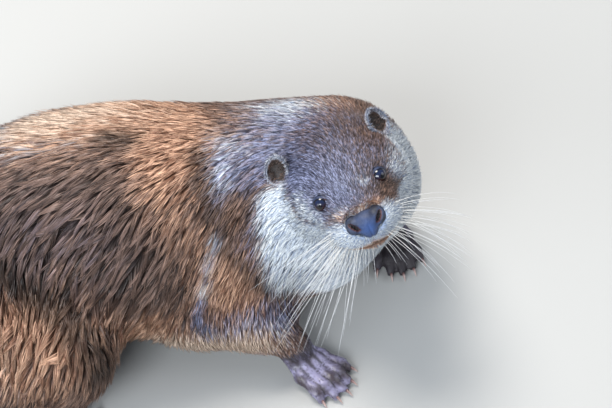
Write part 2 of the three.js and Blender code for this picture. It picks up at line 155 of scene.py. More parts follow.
# In the head: where, which way, reach, then the coat's depth, length, tuft width and lift. Each
# stroke that is off the midline is there on both sides.
FACE = [
    ((22, 0, -4), (-1, 0, 0.4), 5, 0.6, 3.0, 0.48, 0.16),
    ((10, 0, 0), (-1, 0, 0.25), 7, 0.8, 3.4, 0.56, 0.15),
    ((-4, 0, 4), (-1, 0, 0.2), 8, 1.1, 3.7, 0.58, 0.16),
    ((-20, 0, 10), (-1, 0, 0.15), 11, 1.6, 4.8, 0.67, 0.18),
    ((-45, 0, 20), (-1, 0, 0), 15, 2.2, 6.3, 0.77, 0.24),
    ((-78, 0, 20), (-1, 0, -0.3), 18, 2.7, 8.6, 0.80, 0.32),
    ((6, 12, -4), (-0.9, 0.3, 0.2), 6, 0.8, 2.8, 0.47, 0.14),
    ((-12, 13, 6), (-1, 0.15, 0.15), 8, 1.3, 4.1, 0.63, 0.16),
    ((-5, 24, 8), (-0.8, 0.4, 0.4), 6, 0.8, 3.7, 0.52, 0.21),
    ((-20, 28, 6), (-1, 0.25, 0.05), 8, 1.4, 4.8, 0.67, 0.18),
    ((-48, 24, 17), (-1, 0.15, -0.05), 13, 2.2, 6.3, 0.77, 0.18),
    ((-80, 26, 10), (-1, 0.15, -0.3), 16, 2.7, 8.6, 0.80, 0.32),
    ((-2, 31, -12), (-0.8, 0.4, -0.4), 6, 1.0, 3.4, 0.52, 0.16),
    ((-18, 36, -12), (-0.95, 0.3, -0.15), 8, 1.4, 5.3, 0.63, 0.19),
    ((-40, 46, -6), (-0.9, 0.3, 0.1), 9, 1.8, 5.8, 0.67, 0.19),
    ((-70, 48, 0), (-1, 0.05, -0.25), 12, 2.4, 8.0, 0.87, 0.19),
    ((-22, 40, -28), (-0.85, 0.25, -0.45), 9, 1.8, 6.4, 0.50, 0.24),
    ((-45, 52, -26), (-0.85, 0.15, -0.5), 12, 2.4, 8.2, 0.52, 0.26),
    ((-28, 38, -44), (-0.75, 0.1, -0.65), 11, 2.2, 7.6, 0.50, 0.26),
    ((-58, 44, -46), (-0.85, 0, -0.55), 14, 2.8, 9.2, 0.56, 0.26),
    ((16, 18, -14), (-0.75, 0.55, 0.05), 6, 0.7, 3.4, 0.54, 0.17),
    ((20, 17, -28), (-0.6, 0.7, -0.4), 6, 0.7, 3.4, 0.54, 0.18),
    ((6, 26, -28), (-0.8, 0.45, -0.4), 8, 1.0, 4.6, 0.58, 0.20),
    ((-8, 30, -38), (-0.7, 0.3, -0.65), 8, 1.4, 5.8, 0.67, 0.22),
    ((25, 7, -37), (-0.1, 0.5, -0.85), 4, 0.6, 1.9, 0.39, 0.14),
    ((22, 9, -42), (-0.3, 0.8, -0.5), 3, 0.5, 1.3, 0.34, 0.12),
    ((19, 8, -48), (-0.5, 0.3, -0.8), 3, 0.6, 1.4, 0.34, 0.12),
    ((10, 6, -52), (-0.85, 0.1, -0.5), 8, 1.1, 4.6, 0.54, 0.21),
    ((-14, 12, -58), (-0.95, 0.1, -0.3), 11, 1.9, 7.0, 0.50, 0.24),
    ((-40, 18, -66), (-1, 0.1, -0.2), 14, 2.8, 9.0, 0.55, 0.24),
]
# On the floor: the same, where the limbs and the trunk lie against each other
BODY = [
    ((-70, -150, 118), (-0.45, -0.45, -0.75), 22, 4.6, 13, 1.0, 0.20),
    ((-85, -172, 100), (-0.25, -0.40, -0.85), 20, 4.6, 13, 1.0, 0.20),
    ((-110, -168, 75), (-0.30, -0.40, -0.85), 22, 4.6, 13, 1.0, 0.20),
    ((-40, -165, 75), (-0.10, -0.40, -0.90), 22, 4.2, 11, 0.9, 0.20),
    ((-225, -200, 120), (0.10, -0.75, -0.65), 24, 5.2, 14, 0.95, 0.26),
    ((-245, -190, 128), (0.00, -0.80, -0.60), 24, 5.2, 14, 0.95, 0.26),
    ((-225, -220, 98), (0.05, -0.75, -0.65), 26, 5.2, 14, 0.95, 0.26),
    ((-200, -230, 92), (0.20, -0.75, -0.65), 24, 5.2, 14, 0.95, 0.26),
    ((-250, -215, 100), (-0.05, -0.75, -0.65), 26, 5.2, 14, 0.95, 0.26),
    ((-270, -205, 105), (-0.10, -0.75, -0.65), 26, 5.2, 14, 0.95, 0.26),
    ((-170, -215, 80), (0.25, -0.70, -0.70), 16, 4.8, 13, 0.95, 0.26),
    ((-310, -180, 80), (-0.60, -0.50, -0.60), 26, 5.2, 14, 1.0, 0.24),
]
PAW_LIE = (0.5, 1.9, 0.36, 0.14)
RING = 12  # strokes round a limb or the trunk
RING_REACH = 0.4  # of the half width there
BODY_WEIGHT = 3  # how many times as strong as the rest the strokes of BODY are
# how far the hair turns down at each height, in degrees from level with the near flank
HEIGHTS = (-90, -30, 0, 40, 62, 84, 105, 140, 180, 210, 270)
FALLS = (0, 0.6, 1.4, 1.7, 1.3, 0.5, 0, -0.9, -1.4, -0.6, 0)
# how much of that there is at each stroke along the spine, and on the limbs
FALL_SHARE = (0.1, 0.25, 0.35, 0.65, 0.9, 1, 1, 1, 1, 0.8, 0.6, 0.4, 0.3)
LIMB_FALL = 0.3

strokes = []
for (x, y, z), way, reach, *lie in FACE:
    for side in (1, -1) if y else (1,):
        at = from_head((x, side * y, z))
        strokes.append((at, head_turn @ (way[0], side * way[1], way[2]), reach, lie))
for at, way, reach, *lie in BODY * BODY_WEIGHT:
    strokes.append((np.array(at) + stance, np.array(way, float), reach, lie))
for line in (SPINE, *LIMBS.values()):
    for k, (near, far) in enumerate(zip(line, line[1:])):
        turned = FALL_SHARE[min(k, len(FALL_SHARE) - 1)] if line is SPINE else LIMB_FALL
        for share in (0.0, 0.5):
            here = np.array(near) + share * (np.array(far) - np.array(near))
            axis = unit(np.array(far[:3], float) - np.array(near[:3]))
            side = unit(np.cross((0, 0, 1), axis))
            if line is not SPINE and abs(axis[2]) > 0.8:
                side = unit(np.cross((0, 1, 0), axis))
            top = np.cross(axis, side)
            for degrees in np.arange(RING) * 360 / RING - 90:
                angle = math.radians(degrees)
                out = math.cos(angle) * side + math.sin(angle) * top
                at = here[:3] + stance + math.cos(angle) * here[3] * side + math.sin(angle) * here[4] * top
                down = math.sin(angle) * side - math.cos(angle) * top
                way = axis + turned * np.interp(degrees, HEIGHTS, FALLS) * down
                strokes.append((at, unit(way), RING_REACH * here[3], here[5:]))

TOES = 5


def paw_frame(name):
    """The floor under the wrist, and the ways forward, to the left and up."""
    turn = math.radians(PAWS[name][0])
    forward = np.array((math.cos(turn), math.sin(turn), 0))
    left = np.array((-math.sin(turn), math.cos(turn), 0))
    under_wrist = np.array((*LIMBS[name][3][:2], 0)) + stance * (1, 1, 0)
    return under_wrist, np.array((forward, left, (0, 0, 1)))


def toe_points(name):
    """Wrist end, knuckle, middle joint and tip of each toe, in the paw's own frame."""
    _, long, wide, palm, reach, thick = PAWS[name]
    for toe in range(TOES):
        across = toe / 2 - 1
        tip = long * (reach - 0.16 * across**2)
        yield np.array(
            (
                (0.05 * long, across * wide * 0.16, LIMBS[name][3][2] - 9 - 3 * across**2),
                (palm * long * (0.95 - 0.1 * across**2), across * wide * 0.30, 11.5 - 2.5 * across**2),
                (0.5 * (palm * long + tip) + 3, across * wide * 0.38, 9.5 - across**2),
                (tip, across * wide * 0.43, thick - 2.2),
            )
        )


for name in PAWS:
    under_wrist, axes = paw_frame(name)
    for toe in toe_points(name):
        for k, at in enumerate(toe):
            ahead = toe[min(k + 1, 3)] - toe[min(k, 2)]
            strokes.append((under_wrist + at @ axes, unit(ahead) @ axes, 7 if k else 9, PAW_LIE))

stroke_at = np.array([s[0] for s in strokes])
stroke_way = unit(np.array([s[1] for s in strokes]))
stroke_reach = np.array([s[2] for s in strokes])
stroke_lie = np.array([s[3] for s in strokes])
COMBED_AT_ONCE = 8000  # points
FAR_PULL = 1e-7  # keeps a lie where no stroke reaches


def comb(points, normals):
    """The way the hair lies at each point, along the skin, and the coat's depth, length, tuft width
    and lift there."""
    ways, lies = [], []
    for start in range(0, len(points), COMBED_AT_ONCE):
        p = points[start : start + COMBED_AT_ONCE]
        gap = ((p[:, None] - stroke_at[None]) ** 2).sum(2)
        pull = np.exp(-gap / (2 * stroke_reach**2)) / stroke_reach + FAR_PULL / (1 + gap)
        pull /= pull.sum(1, keepdims=True)
        ways.append(pull @ stroke_way)
        lies.append(pull @ stroke_lie)
    way, lie = np.concatenate(ways), np.concatenate(lies)
    way -= normals * (way * normals).sum(1, keepdims=True)
    return unit(way), lie


# ---- The skin
# One skin over the whole animal, under the coat by the depth of the hair. It stands for every node
# of flesh, closed over the joints between them, with the sockets, lips and muzzle pads drawn in.

SKIN_CELL = 0.0030  # metres, the size of its faces
OVER_CUTS = 0.0005  # each node swells this much, so that neighbours meet
FLESH = sorted(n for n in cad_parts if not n.startswith(("eye", "nose", "ear")))
EARS = ("ear_left", "ear_right")


def read(items, name, width, kind=np.int32):
    """One property of all the vertices, edges or faces, a row for each."""
    out = np.empty(len(items) * width, kind)
    items.foreach_get(name, out)
    return out.reshape(-1, width)


def coordinates(mesh):
    return read(mesh.vertices, "co", 3, np.float32).astype(float) * 1000


def normals_of(mesh):
    return read(mesh.vertex_normals, "vector", 3, np.float32).astype(float)


def move_to(mesh, points):
    mesh.vertices.foreach_set("co", (points / 1000).astype(np.float32).ravel())
    mesh.update()


def relax(mesh, points, amount, passes):
    """Draws each point towards the middle of its neighbours, by its own amount."""
    a, b = read(mesh.edges, "vertices", 2).T
    count = np.bincount(np.concatenate((a, b)), minlength=len(points))[:, None]
    for _ in range(passes):
        total = np.stack(
            [
                np.bincount(a, points[b, k], len(points)) + np.bincount(b, points[a, k], len(points))
                for k in range(3)
            ],
            1,
        )
        points = points + amount[:, None] * (total / count - points)
    return points


def smoothstep(low, high, x):
    t = np.clip((x - low) / (high - low), 0, 1)
    return t * t * (3 - 2 * t)


def spot(points, centre, radii):
    return np.exp(-(((points - np.array(centre)) / np.array(radii)) ** 2).sum(1))


def join(first, *others):
    """One piece out of several, in place of the first."""
    bpy.ops.object.select_all(action="DESELECT")
    for piece in (first, *others):
        piece.select_set(True)
    bpy.context.view_layer.objects.active = first
    bpy.ops.object.join()
    return first


def close_over(piece, cell):
    """Makes the piece one closed surface in faces of this size, in metres."""
    cells = piece.modifiers.new("cells", "REMESH")
    cells.mode = "VOXEL"
    cells.voxel_size = cell
    bpy.ops.object.modifier_apply(modifier="cells")


def turn_outwards():
    """Makes all faces of the active piece point outwards."""
    bpy.ops.object.mode_set(mode="EDIT")
    bpy.ops.mesh.select_all(action="SELECT")
    bpy.ops.mesh.normals_make_consistent(inside=False)
    bpy.ops.object.mode_set(mode="OBJECT")


copies = []
for name in FLESH:
    copied = bpy.data.objects.new("flesh_" + name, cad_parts[name].data.copy())
    bpy.context.collection.objects.link(copied)
    copies.append(copied)
skin = join(*copies)
skin.name = skin.data.name = "skin"
skin.data.materials.clear()
bpy.ops.object.mode_set(mode="EDIT")
bpy.ops.mesh.select_all(action="SELECT")
bpy.ops.mesh.remove_doubles(threshold=1e-5)
bpy.ops.transform.shrink_fatten(value=OVER_CUTS)
bpy.ops.object.mode_set(mode="OBJECT")
close_over(skin, SKIN_CELL)

points = coordinates(skin.data)
in_head = to_head(points)
_, lie = comb(points, normals_of(skin.data))
# the broad trunk is smoothed most, the face less and the paws least
soft = smoothstep(1.0, 5.3, lie[:, 0])
points = relax(skin.data, points, 0.12 + 0.38 * soft, 14)
points = relax(skin.data, points, 0.5 * soft, 30)
move_to(skin.data, points)

# The face and the paws are drawn in finer faces


def in_paw(points, name):
    under_wrist, axes = paw_frame(name)
    return (points - under_wrist) @ axes.T


def past_wrist(points, name):
    """How far a point is past the wrist, towards the toes, in millimetres."""
    own = in_paw(points, name)
    near = (np.abs(own[:, 1]) < 45) & (own[:, 0] > -26) & (own[:, 0] < 130) & (own[:, 2] < 40)
    return np.where(near, 0.35 * own[:, 0] + LIMBS[name][3][2] - own[:, 2], -99)


bpy.ops.object.mode_set(mode="EDIT")
bpy.ops.mesh.select_all(action="DESELECT")
bpy.ops.object.mode_set(mode="OBJECT")
in_head = to_head(coordinates(skin.data))
of_face = (in_head[:, 0] > -28) & (np.abs(in_head[:, 1]) < 44) & (in_head[:, 2] > -60)
for name in PAWS:
    of_face |= past_wrist(coordinates(skin.data), name) > -4
faces = read(skin.data.loops, "vertex_index", 1)[:, 0]
starts = read(skin.data.polygons, "loop_start", 1)[:, 0]
chosen = np.minimum.reduceat(of_face[faces].astype(np.int8), starts).astype(bool)
skin.data.polygons.foreach_set("select", chosen)
bpy.ops.object.mode_set(mode="EDIT")
bpy.context.tool_settings.mesh_select_mode = (False, False, True)
bpy.ops.mesh.subdivide(number_cuts=1)
bpy.ops.object.mode_set(mode="OBJECT")

points = coordinates(skin.data)
points = relax(skin.data, points, np.full(len(points), 0.3), 2)
move_to(skin.data, points)
normals = normals_of(skin.data)
_, lie = comb(points, normals)
points = points - normals * lie[:, :1]
in_head = to_head(points)
face_part = smoothstep(-60, -40, in_head[:, 0])

# where, radii, and how far the skin moves there: in the head's own directions
FORMS = [
    ((2, 27, -2), (7, 7, 7), (-0.8, -0.4, 0)),  # the socket
    ((-2, 25, 9), (8, 10, 5), (0.5, 0.3, 1.6)),  # the brow
    ((14, 13, -10), (8, 5, 6), (-0.5, -1.5, -0.3)),  # beside the bridge
    ((22, 13, -32), (9, 8, 7), (1.8, 1.6, 0)),  # the pad that the whiskers stand on
    ((27, 0, -37), (8, 1.6, 5), (-1.6, 0, 0)),  # the cleft under the nose
    ((14, 0, -13), (7, 10, 6), (7.5, 0, 0)),  # the bed of the nose pad
    ((15, 0, -52), (12, 12, 7), (4.0, 0, -2.0)),  # the chin
    ((14, 22, -27), (14, 10, 9), (1.0, 3.6, 0)),  # the side of the pad
    ((-8, 34, -22), (14, 8, 10), (0, -0.5, 0)),
]
move = np.zeros_like(in_head)
for centre, radii, way in FORMS:
    for side in (1, -1) if centre[1] else (1,):
        c = np.array(centre, float) * (1, side, 1)
        move += spot(in_head, c, radii)[:, None] * (np.array(way) * (1, side, 1))
# The mouth: a groove from under the nose, round below the pads and up to the cheek
MOUTH = [
    *((22, 0, -44.5), (22, 7, -44.5), (19.5, 14, -43.5), (15, 19.5, -43)),
    *((7, 23.5, -42), (-2, 27, -40), (-12, 31, -37)),
]


def off_line(points, line):
    """How far each point is from a line of points."""
    best = np.full(len(points), 1e9)
    for a, b in zip(np.array(line, float), np.array(line[1:], float)):
        t = np.clip(((points - a) @ (b - a)) / ((b - a) @ (b - a)), 0, 1)
        best = np.minimum(best, np.linalg.norm(points - a - t[:, None] * (b - a), axis=1))
    return best


def off_lips(in_head):
    """How far points of the head are from the line of the mouth, on either side."""
    return off_line(in_head * (1, 0, 1) + np.abs(in_head[:, 1:2]) * (0, 1, 0), MOUTH)


off_mouth = off_lips(in_head)
head_normals = normals @ head_turn
groove = np.exp(-((off_mouth / 1.6) ** 2)) * (in_head[:, 0] > -14)
move -= head_normals * groove[:, None] * 2.6
roll = np.exp(-(((off_mouth - 3.6) / 1.8) ** 2)) * (in_head[:, 0] > 0)
move += head_normals * roll[:, None] * 0.7
points = points + (move * face_part[:, None]) @ head_turn.T

# Each paw: bones of the hand under thin skin, knuckles, two joints in each toe, and the web
# centres, as shares of the paw's length and width and of the wrist's height, and radii
PALM_BALLS = {
    "fore": [((0.00, 0.0, 0.92), 15.0), ((0.12, 0.0, 0.62), 13.5), ((0.30, 0.0, 0.34), 10.5)],
    "hind": [((0.00, 0.0, 0.84), 15.5), ((0.12, 0.0, 0.55), 14.5), ((0.32, 0.0, 0.30), 11.5)],
}
RUN_TOGETHER = 1.1  # how softly the forms of a paw meet


def capsule(points, a, b, radius_a, radius_b):
    t = np.clip(((points - a) @ (b - a)) / ((b - a) @ (b - a)), 0, 1)
    return np.linalg.norm(points - a - t[:, None] * (b - a), axis=1) - (radius_a + t * (radius_b - radius_a))


def paw_field(own, name):
    """How far points in the paw's own frame are outside its skin."""
    _, long, wide, _, _, thick = PAWS[name]
    high = LIMBS[name][3][2]
    shapes = []
    for (x, y, z), radius in PALM_BALLS[name[:4]]:
        shapes.append(np.linalg.norm(own - (x * long, y * wide, z * high), axis=1) - radius)
    toes = list(toe_points(name))
    for start, knuckle, joint, tip in toes:
        shapes.append(capsule(own, start, knuckle, 5.0, thick - 0.9))
        shapes.append(np.linalg.norm(own - knuckle, axis=1) - thick + 0.1)
        shapes.append(capsule(own, knuckle, joint, thick - 1.3, thick - 1.7))
        shapes.append(np.linalg.norm(own - joint, axis=1) - thick + 1.2)
        shapes.append(capsule(own, joint, tip, thick - 2.0, thick - 2.4))
    for a, b in zip(toes, toes[1:]):
        for share in (0.15, 0.55, 0.8):
            web = 0.5 * (a[1] + b[1]) * (1 - share) + 0.5 * (a[2] + b[2]) * share - (0, 0, 3.6)
            flat = (own - web) / (7.5, 5.0, 2.6)
            shapes.append((np.linalg.norm(flat, axis=1) - 1) * 2.6)
    return -RUN_TOGETHER * np.log(np.exp(-np.stack(shapes) / RUN_TOGETHER).sum(0) + 1e-30)


for name in PAWS:
    beyond = past_wrist(points, name)
    mine = np.flatnonzero(beyond > 0)
    own = in_paw(points[mine], name)
    settled = own.copy()
    for _ in range(10):
        away = paw_field(settled, name)
        slope = np.stack([paw_field(settled + step, name) - away for step in np.eye(3) * 0.05], 1) / 0.05
        settled -= np.clip(away, -2, 2)[:, None] * slope / np.maximum((slope**2).sum(1, keepdims=True), 0.3)
    share = smoothstep(0, 14, beyond[mine])[:, None]
    under_wrist, axes = paw_frame(name)
    points[mine] = under_wrist + (own + share * (settled - own)) @ axes
points = relax(skin.data, points, np.full(len(points), 0.25), 2)
points[:, 2] = np.maximum(points[:, 2], 0.05)
move_to(skin.data, points)

# The ears: thin cups that stand out of the fur, joined into the skin
EAR_SIZE = (10.0, 12.8)  # half the width and height of the rim, in millimetres
EAR_AT = (-57, 45.5, 9)
EAR_FACES = {1: (0.66, 0.62, 0.30), -1: (0.82, -0.42, 0.38)}  # the way each ear's opening looks
EAR_UP = (-0.22, -0.33, 1.0)  # and its long way up
EAR_DEEP = 7.0
EAR_WALL = 1.5
EAR_REACH = 22  # everything of an ear is nearer than this to its middle
EAR_ROOT = 9  # no hair grows from the head behind the cup


def ear_turn(side):
    """From an ear's own ways, out of its opening, across and up, to the head's."""
    out = unit(np.array(EAR_FACES[side]))
    up = np.array(EAR_UP) * (1, side, 1)
    up = unit(up - out * (up @ out))
    return np.stack((out, side * np.cross(up, out), up), 1)


def in_order(piece):
    """Puts the piece's faces in the order of their corners. A new ball's faces come in any order,
    and what is drawn at random for each face would change with it."""
    old = piece.data
    faces = [tuple(face.vertices) for face in old.polygons]
    faces = sorted(face[k:] + face[:k] for face in faces for k in (face.index(min(face)),))
    piece.data = bpy.data.meshes.new(old.name)
    piece.data.from_pydata([vertex.co[:] for vertex in old.vertices], [], faces)
    piece.data.uv_layers.new(name="UVMap")
    bpy.data.meshes.remove(old)


ears = []
for side in (1, -1):
    bpy.ops.object.select_all(action="DESELECT")
    bpy.ops.mesh.primitive_uv_sphere_add(segments=48, ring_count=32, radius=1)
    ear = bpy.context.object
    ear.name = "ear_left_skin" if side > 0 else "ear_right_skin"
    ball = coordinates(ear.data) / 1000
    across, up, out = ball[:, 0], ball[:, 1], ball[:, 2]
    ring = np.hypot(across, up)
    # the back bulges, the front is drawn in to a cup, deepest low down
    cup = (1 - ring**2.2).clip(0)
    back = -EAR_DEEP * np.sqrt((1 - ring**2).clip(0)) * (0.9 + 0.2 * (up < 0))
    front = -(EAR_DEEP - EAR_WALL) * cup**0.6 * (1.0 + 0.1 * up)
    depth = np.where(out > 0, front, back)
    # the fold in front of the opening
    depth += np.where(out > 0, 1.4 * np.exp(-(((across - 0.55) / 0.22) ** 2 + ((up + 0.45) / 0.3) ** 2)), 0)
    wide = EAR_SIZE[0] * (1 - 0.12 * up.clip(0) ** 2 + 0.10 * (-up).clip(0))
    shaped = np.stack((depth + 2.0, across * wide, up * EAR_SIZE[1]), 1)
    placed = shaped @ ear_turn(side).T + np.array(EAR_AT) * (1, side, 1)
    move_to(ear.data, from_head(placed))
    turn_outwards()
    in_order(ear)
    ears.append(ear)
skin_count = len(skin.data.vertices)
join(skin, *ears)

points = coordinates(skin.data)
normals = normals_of(skin.data)
in_head = to_head(points)
_, lie = comb(points, normals)

# The markings: how pale, warm, silvery and dark each place is, and how deep the painted shade is
# there. The pale throat and cheeks end at a line from over the nose, under the eye, to the ear, and
# on the neck above the shoulder. A spot has a centre, radii and a strength, in the head or on the
# floor; a streak runs along a line.
PALE_LINE = [
    *((-120, -70), (-90, -46), (-72, -22), (-60, -4), (-46, -2), (-38, -6), (-30, -12), (-24, -17)),
    *((-16, -21), (-6, -21), (4, -19), (12, -15), (18, -12), (24, -11), (40, -8)),
]
PALE_EDGE = 7.0  # how softly the line ends
HEAD_MARKS = {
    "pale": [
        ((-26, 46, -14), (18, 12, 14), 0.62),
        ((-10, 42, -10), (10, 8, 12), 0.50),
        ((6, 13, 6), (5, 4, 4), 0.50),
        ((-20, -42, -8), (14, 12, 14), 0.62),
        ((-6, -38, -14), (12, 10, 10), 0.55),
        ((4, -30, -18), (12, 8, 9), 0.60),
        ((0, 0, 4), (26, 34, 14), 0.16),
        ((18, -15, -6), (8, 8, 5), 0.45),
        ((22, 3, -8), (6, 15, 5), 0.55),
        ((-90, 62, -50), (24, 14, 34), 0.95),
        ((-80, 53, -24), (14, 12, 16), 0.80),
        ((-110, -20, 20), (26, 40, 22), 0.22),
        ((-62, -44, 14), (18, 12, 12), 0.15),
    ],
    "warm": [
        ((11, 28, -13), (9, 9, 8), 0.15),
        ((-46, 30, 14), (18, 16, 14), 0.15),
        ((14, 0, -30), (20, 26, 16), 0.50),
        ((21, 2, -7), (6, 15, 5), 0.80),
        ((18, -16, -8), (6, 6, 6), 0.50),
        ((20, 14, -9), (5, 5, 5), 0.60),
        ((-118, 30, 20), (26, 30, 26), 0.8),
        ((-86, 8, 24), (16, 34, 14), 0.45),
    ],
    "silver_and_sheen": [
        ((-30, 0, 10), (60, 60, 40), 0.55),
        ((-12, -8, 8), (24, 16, 16), 0.35),
        ((-24, -32, 2), (28, 20, 20), 0.60),
        ((8, -8, 0), (16, 14, 9), 0.50),
        ((-62, -44, 12), (24, 20, 18), 0.45),
        ((-105, -20, 20), (30, 40, 24), 0.65),
        ((2, -30, -14), (14, 10, 10), 0.5),
        ((-44, 32, 12), (18, 18, 14), -0.25),
        ((11, 28, -13), (10, 10, 9), -0.60),
        ((4, 28, 8), (8, 8, 8), -0.25),
    ],
    "dark": [((12, 29, -14), (8, 7, 6), 0.30), ((0, 29, 5), (6, 6, 5), 0.25)],
}
# The first two pale and the first two warm spots run along the top of the back: partly the coat's tan and
# partly painted light, where the top faces the light from above.
BODY_MARKS = {
    "pale": [
        ((-225, -48, 178), (74, 36, 32), 0.95),
        ((-140, -30, 186), (60, 34, 30), 0.28),
        ((-64, -78, 176), (22, 20, 20), 0.34),
        ((-72, -106, 166), (11, 18, 16), 0.42),
        ((-12, -22, 163), (40, 20, 16), 0.55),
        ((-110, -190, 44), (90, 18, 20), 1.15),
        ((-40, -190, 56), (26, 18, 18), 0.42),
        ((-62, -168, 108), (22, 20, 26), 0.18),
        ((-232, -228, 84), (36, 26, 34), 0.22),
    ],
    "warm": [
        ((-200, -44, 186), (120, 46, 32), 1.5),
        ((-118, -84, 182), (26, 60, 30), 1.1),
        ((-95, -150, 140), (28, 40, 44), 0.35),
        ((-60, -168, 100), (30, 26, 44), 0.95),
        ((-225, -220, 96), (50, 40, 44), 1.5),
        ((-60, -124, 148), (11, 14, 14), 0.20),
        ((-140, -185, 75), (40, 24, 22), 0.9),
        ((-100, -188, 42), (80, 22, 18), 1.8),
        ((-44, -180, 60), (36, 24, 26), 0.45),
    ],
    # the deep spots are painted shade
    "deep": [((-7, -150, 88), (32, 26, 22), 0.35), ((-20, -162, 76), (20, 16, 16), 0.25)],
    "silver_and_sheen": [
        ((-52, -92, 172), (22, 26, 24), 0.40),
        ((-70, -105, 166), (13, 30, 18), 0.40),
        ((-40, -140, 126), (18, 24, 28), 0.45),
        ((-56, -182, 58), (36, 22, 24), 0.80),
        ((-24, -170, 60), (26, 22, 26), 0.48),
        ((-60, -124, 148), (9, 12, 12), -0.45),
        ((-200, -150, 140), (70, 44, 44), 0.20),
    ],
}
THIGH_CREASE = [
    *((-270, -158, 130), (-249, -172, 132), (-227, -184, 124)),
    *((-207, -193, 115), (-187, -215, 101), (-173, -230, 81)),
]
SHOULDER_CREASE = [
    *((-90, -92, 176), (-90, -112, 171), (-80, -133, 157)),
    *((-66, -151, 132), (-51, -158, 115), (-37, -159, 98)),
]
UPPER_ARM = [(-76, -148, 142), (-82, -160, 128), (-87, -172, 105)]
# Over the floor: what a line of points adds, its radius and its strength. The pale streak down the
# upper arm and the silver one on down the forearm are a painted highlight. The deep ones are painted
# shade: in the creases of thigh and shoulder and in a notch in the ridge of the back, and the painted
# shadow of the head on the far paw.
STREAKS = [
    ("pale", 7, 0.62, UPPER_ARM),
    ("silver_and_sheen", 6, 0.60, [*UPPER_ARM, (-91, -182, 77), (-76, -184, 57)]),
    ("deep", 14, 1.7, THIGH_CREASE),
    ("deep", 8, 0.9, SHOULDER_CREASE),
    ("deep", 11, 1.1, [(-162, -85, 190), (-146, -87, 191)]),
    ("deep", 30, 1.1, [(70, -50, 20), (88, -83, 3)]),
]
LOWEST_PALE = ((-60, -20, 20, 60), (98, 84, 54, 46))  # along the floor, and the height there
BROWN_PATCH = ((11, 29, -13), (10, 9, 9))  # in the pale cheek under the left eye
NOSE_BAND = ((20, 2, -5), (7, 14, 6))  # tan hair over the nose pad
LIP_BAND, LIP_SHADE, BARE_LIP = 5.0, 1.9, 1.4  # radii round the line of the mouth


def marks_at(points):
    """How pale, warm, silvery and dark the coat is at each point, and how much shade is painted on it."""
    in_head, on_floor = to_head(points), points - stance
    value = {}
    for mark in ("pale", "warm", "silver_and_sheen", "dark", "deep"):
        value[mark] = np.zeros(len(points))
        for centre, radii, strength in HEAD_MARKS.get(mark, ()):
            value[mark] += strength * spot(in_head, centre, radii)
        for centre, radii, strength in BODY_MARKS.get(mark, ()):
            value[mark] += strength * spot(on_floor, centre, radii)
        for kind, radius, strength, line in STREAKS:
            if kind == mark:
                value[mark] += strength * np.exp(-((off_line(on_floor, line) / radius) ** 2))
    edge = np.interp(in_head[:, 0], *np.array(PALE_LINE, float).T)
    throat = smoothstep(PALE_EDGE, -PALE_EDGE, in_head[:, 2] - edge)
    throat *= smoothstep(-46, -26, on_floor[:, 0] + 0.12 * (on_floor[:, 2] - 110))
    lowest = np.interp(on_floor[:, 0], *LOWEST_PALE)
    throat *= smoothstep(-12, 12, on_floor[:, 2] - lowest)
    throat *= 1 - 0.95 * spot(in_head, *BROWN_PATCH)
    throat *= 1 - 0.6 * spot(in_head, *NOSE_BAND)
    off_mouth = off_lips(in_head)
    lip_band = np.exp(-((off_mouth / LIP_BAND) ** 2)) * smoothstep(-2, 12, in_head[:, 0])
    value["pale"] = np.maximum(value["pale"], throat) * (1 - 0.55 * lip_band)
    value["silver_and_sheen"] *= 1 - np.maximum(throat, lip_band)
    value["warm"] = value["warm"] * (1 - 0.5 * throat) + 1.0 * lip_band
    # painted shade in the groove of the mouth
    value["deep"] += 1.6 * np.exp(-((off_mouth / LIP_SHADE) ** 2)) * smoothstep(-10, 6, in_head[:, 0])
    return {mark: np.clip(v, 0, 1) for mark, v in value.items()}


HEAD_MIDDLE, HEAD_REACH = (-20, 0, -20), 100
marks = marks_at(points)
# bare skin: the paws, where the coat is thinnest, but nothing of the head
bare = 1 - smoothstep(0.9, 1.8, lie[:, 0])
bare *= np.linalg.norm(in_head - HEAD_MIDDLE, axis=1) > HEAD_REACH
is_ear = np.arange(len(points)) >= skin_count
inner_ear = np.zeros(len(points))
ear_rim = np.zeros(len(points))
for side in (1, -1):
    turn = ear_turn(side)
    local = (in_head - np.array(EAR_AT) * (1, side, 1)) @ turn
    ring = np.hypot(local[:, 1] / EAR_SIZE[0], local[:, 2] / EAR_SIZE[1])
    forward = (normals @ head_turn) @ turn[:, 0] > -0.1
    near = is_ear & (np.linalg.norm(local, axis=1) < EAR_REACH)
    inner_ear = np.maximum(inner_ear, near * forward * (1 - smoothstep(0.70, 0.92, ring)))
    ear_rim = np.maximum(ear_rim, near * smoothstep(0.78, 0.95, ring))
# the hollows between the toes and between the bones of the hand are in shade
hollow = np.zeros(len(points))
for name in PAWS:
    mine = np.flatnonzero(past_wrist(points, name) > 0)
    own = in_paw(points[mine], name)
    lines = [[capsule(own, a, b, 0, 0) for a, b in zip(toe, toe[1:])] for toe in toe_points(name)]
    off = np.sort(np.min(lines, axis=1), axis=0)
    hollow[mine] = smoothstep(0.72, 0.98, off[0] / off[1])
lips = np.exp(-((off_lips(in_head) / BARE_LIP) ** 2)) * smoothstep(-12, 4, in_head[:, 0])
marks["dark"] = np.clip(marks["dark"] + bare * (1 - inner_ear) + 0.9 * lips, 0, 1)
marks["pale"] = np.where(is_ear, 0.50 * ear_rim, marks["pale"]) * (1 - 0.8 * lips)
marks["silver_and_sheen"] = np.where(is_ear, 0.5 * ear_rim, marks["silver_and_sheen"] * (1 - inner_ear))
marks["warm"] *= 1 - inner_ear
mark_rows = np.stack([marks[m] for m in ("pale", "warm", "silver_and_sheen", "dark")], 1)


def add_attribute(mesh, name, values, domain="POINT"):
    kind = "FLOAT_COLOR" if values.ndim == 2 else "FLOAT"
    layer = mesh.attributes.new(name, kind, domain)
    layer.data.foreach_set("color" if values.ndim == 2 else "value", values.astype(np.float32).ravel())


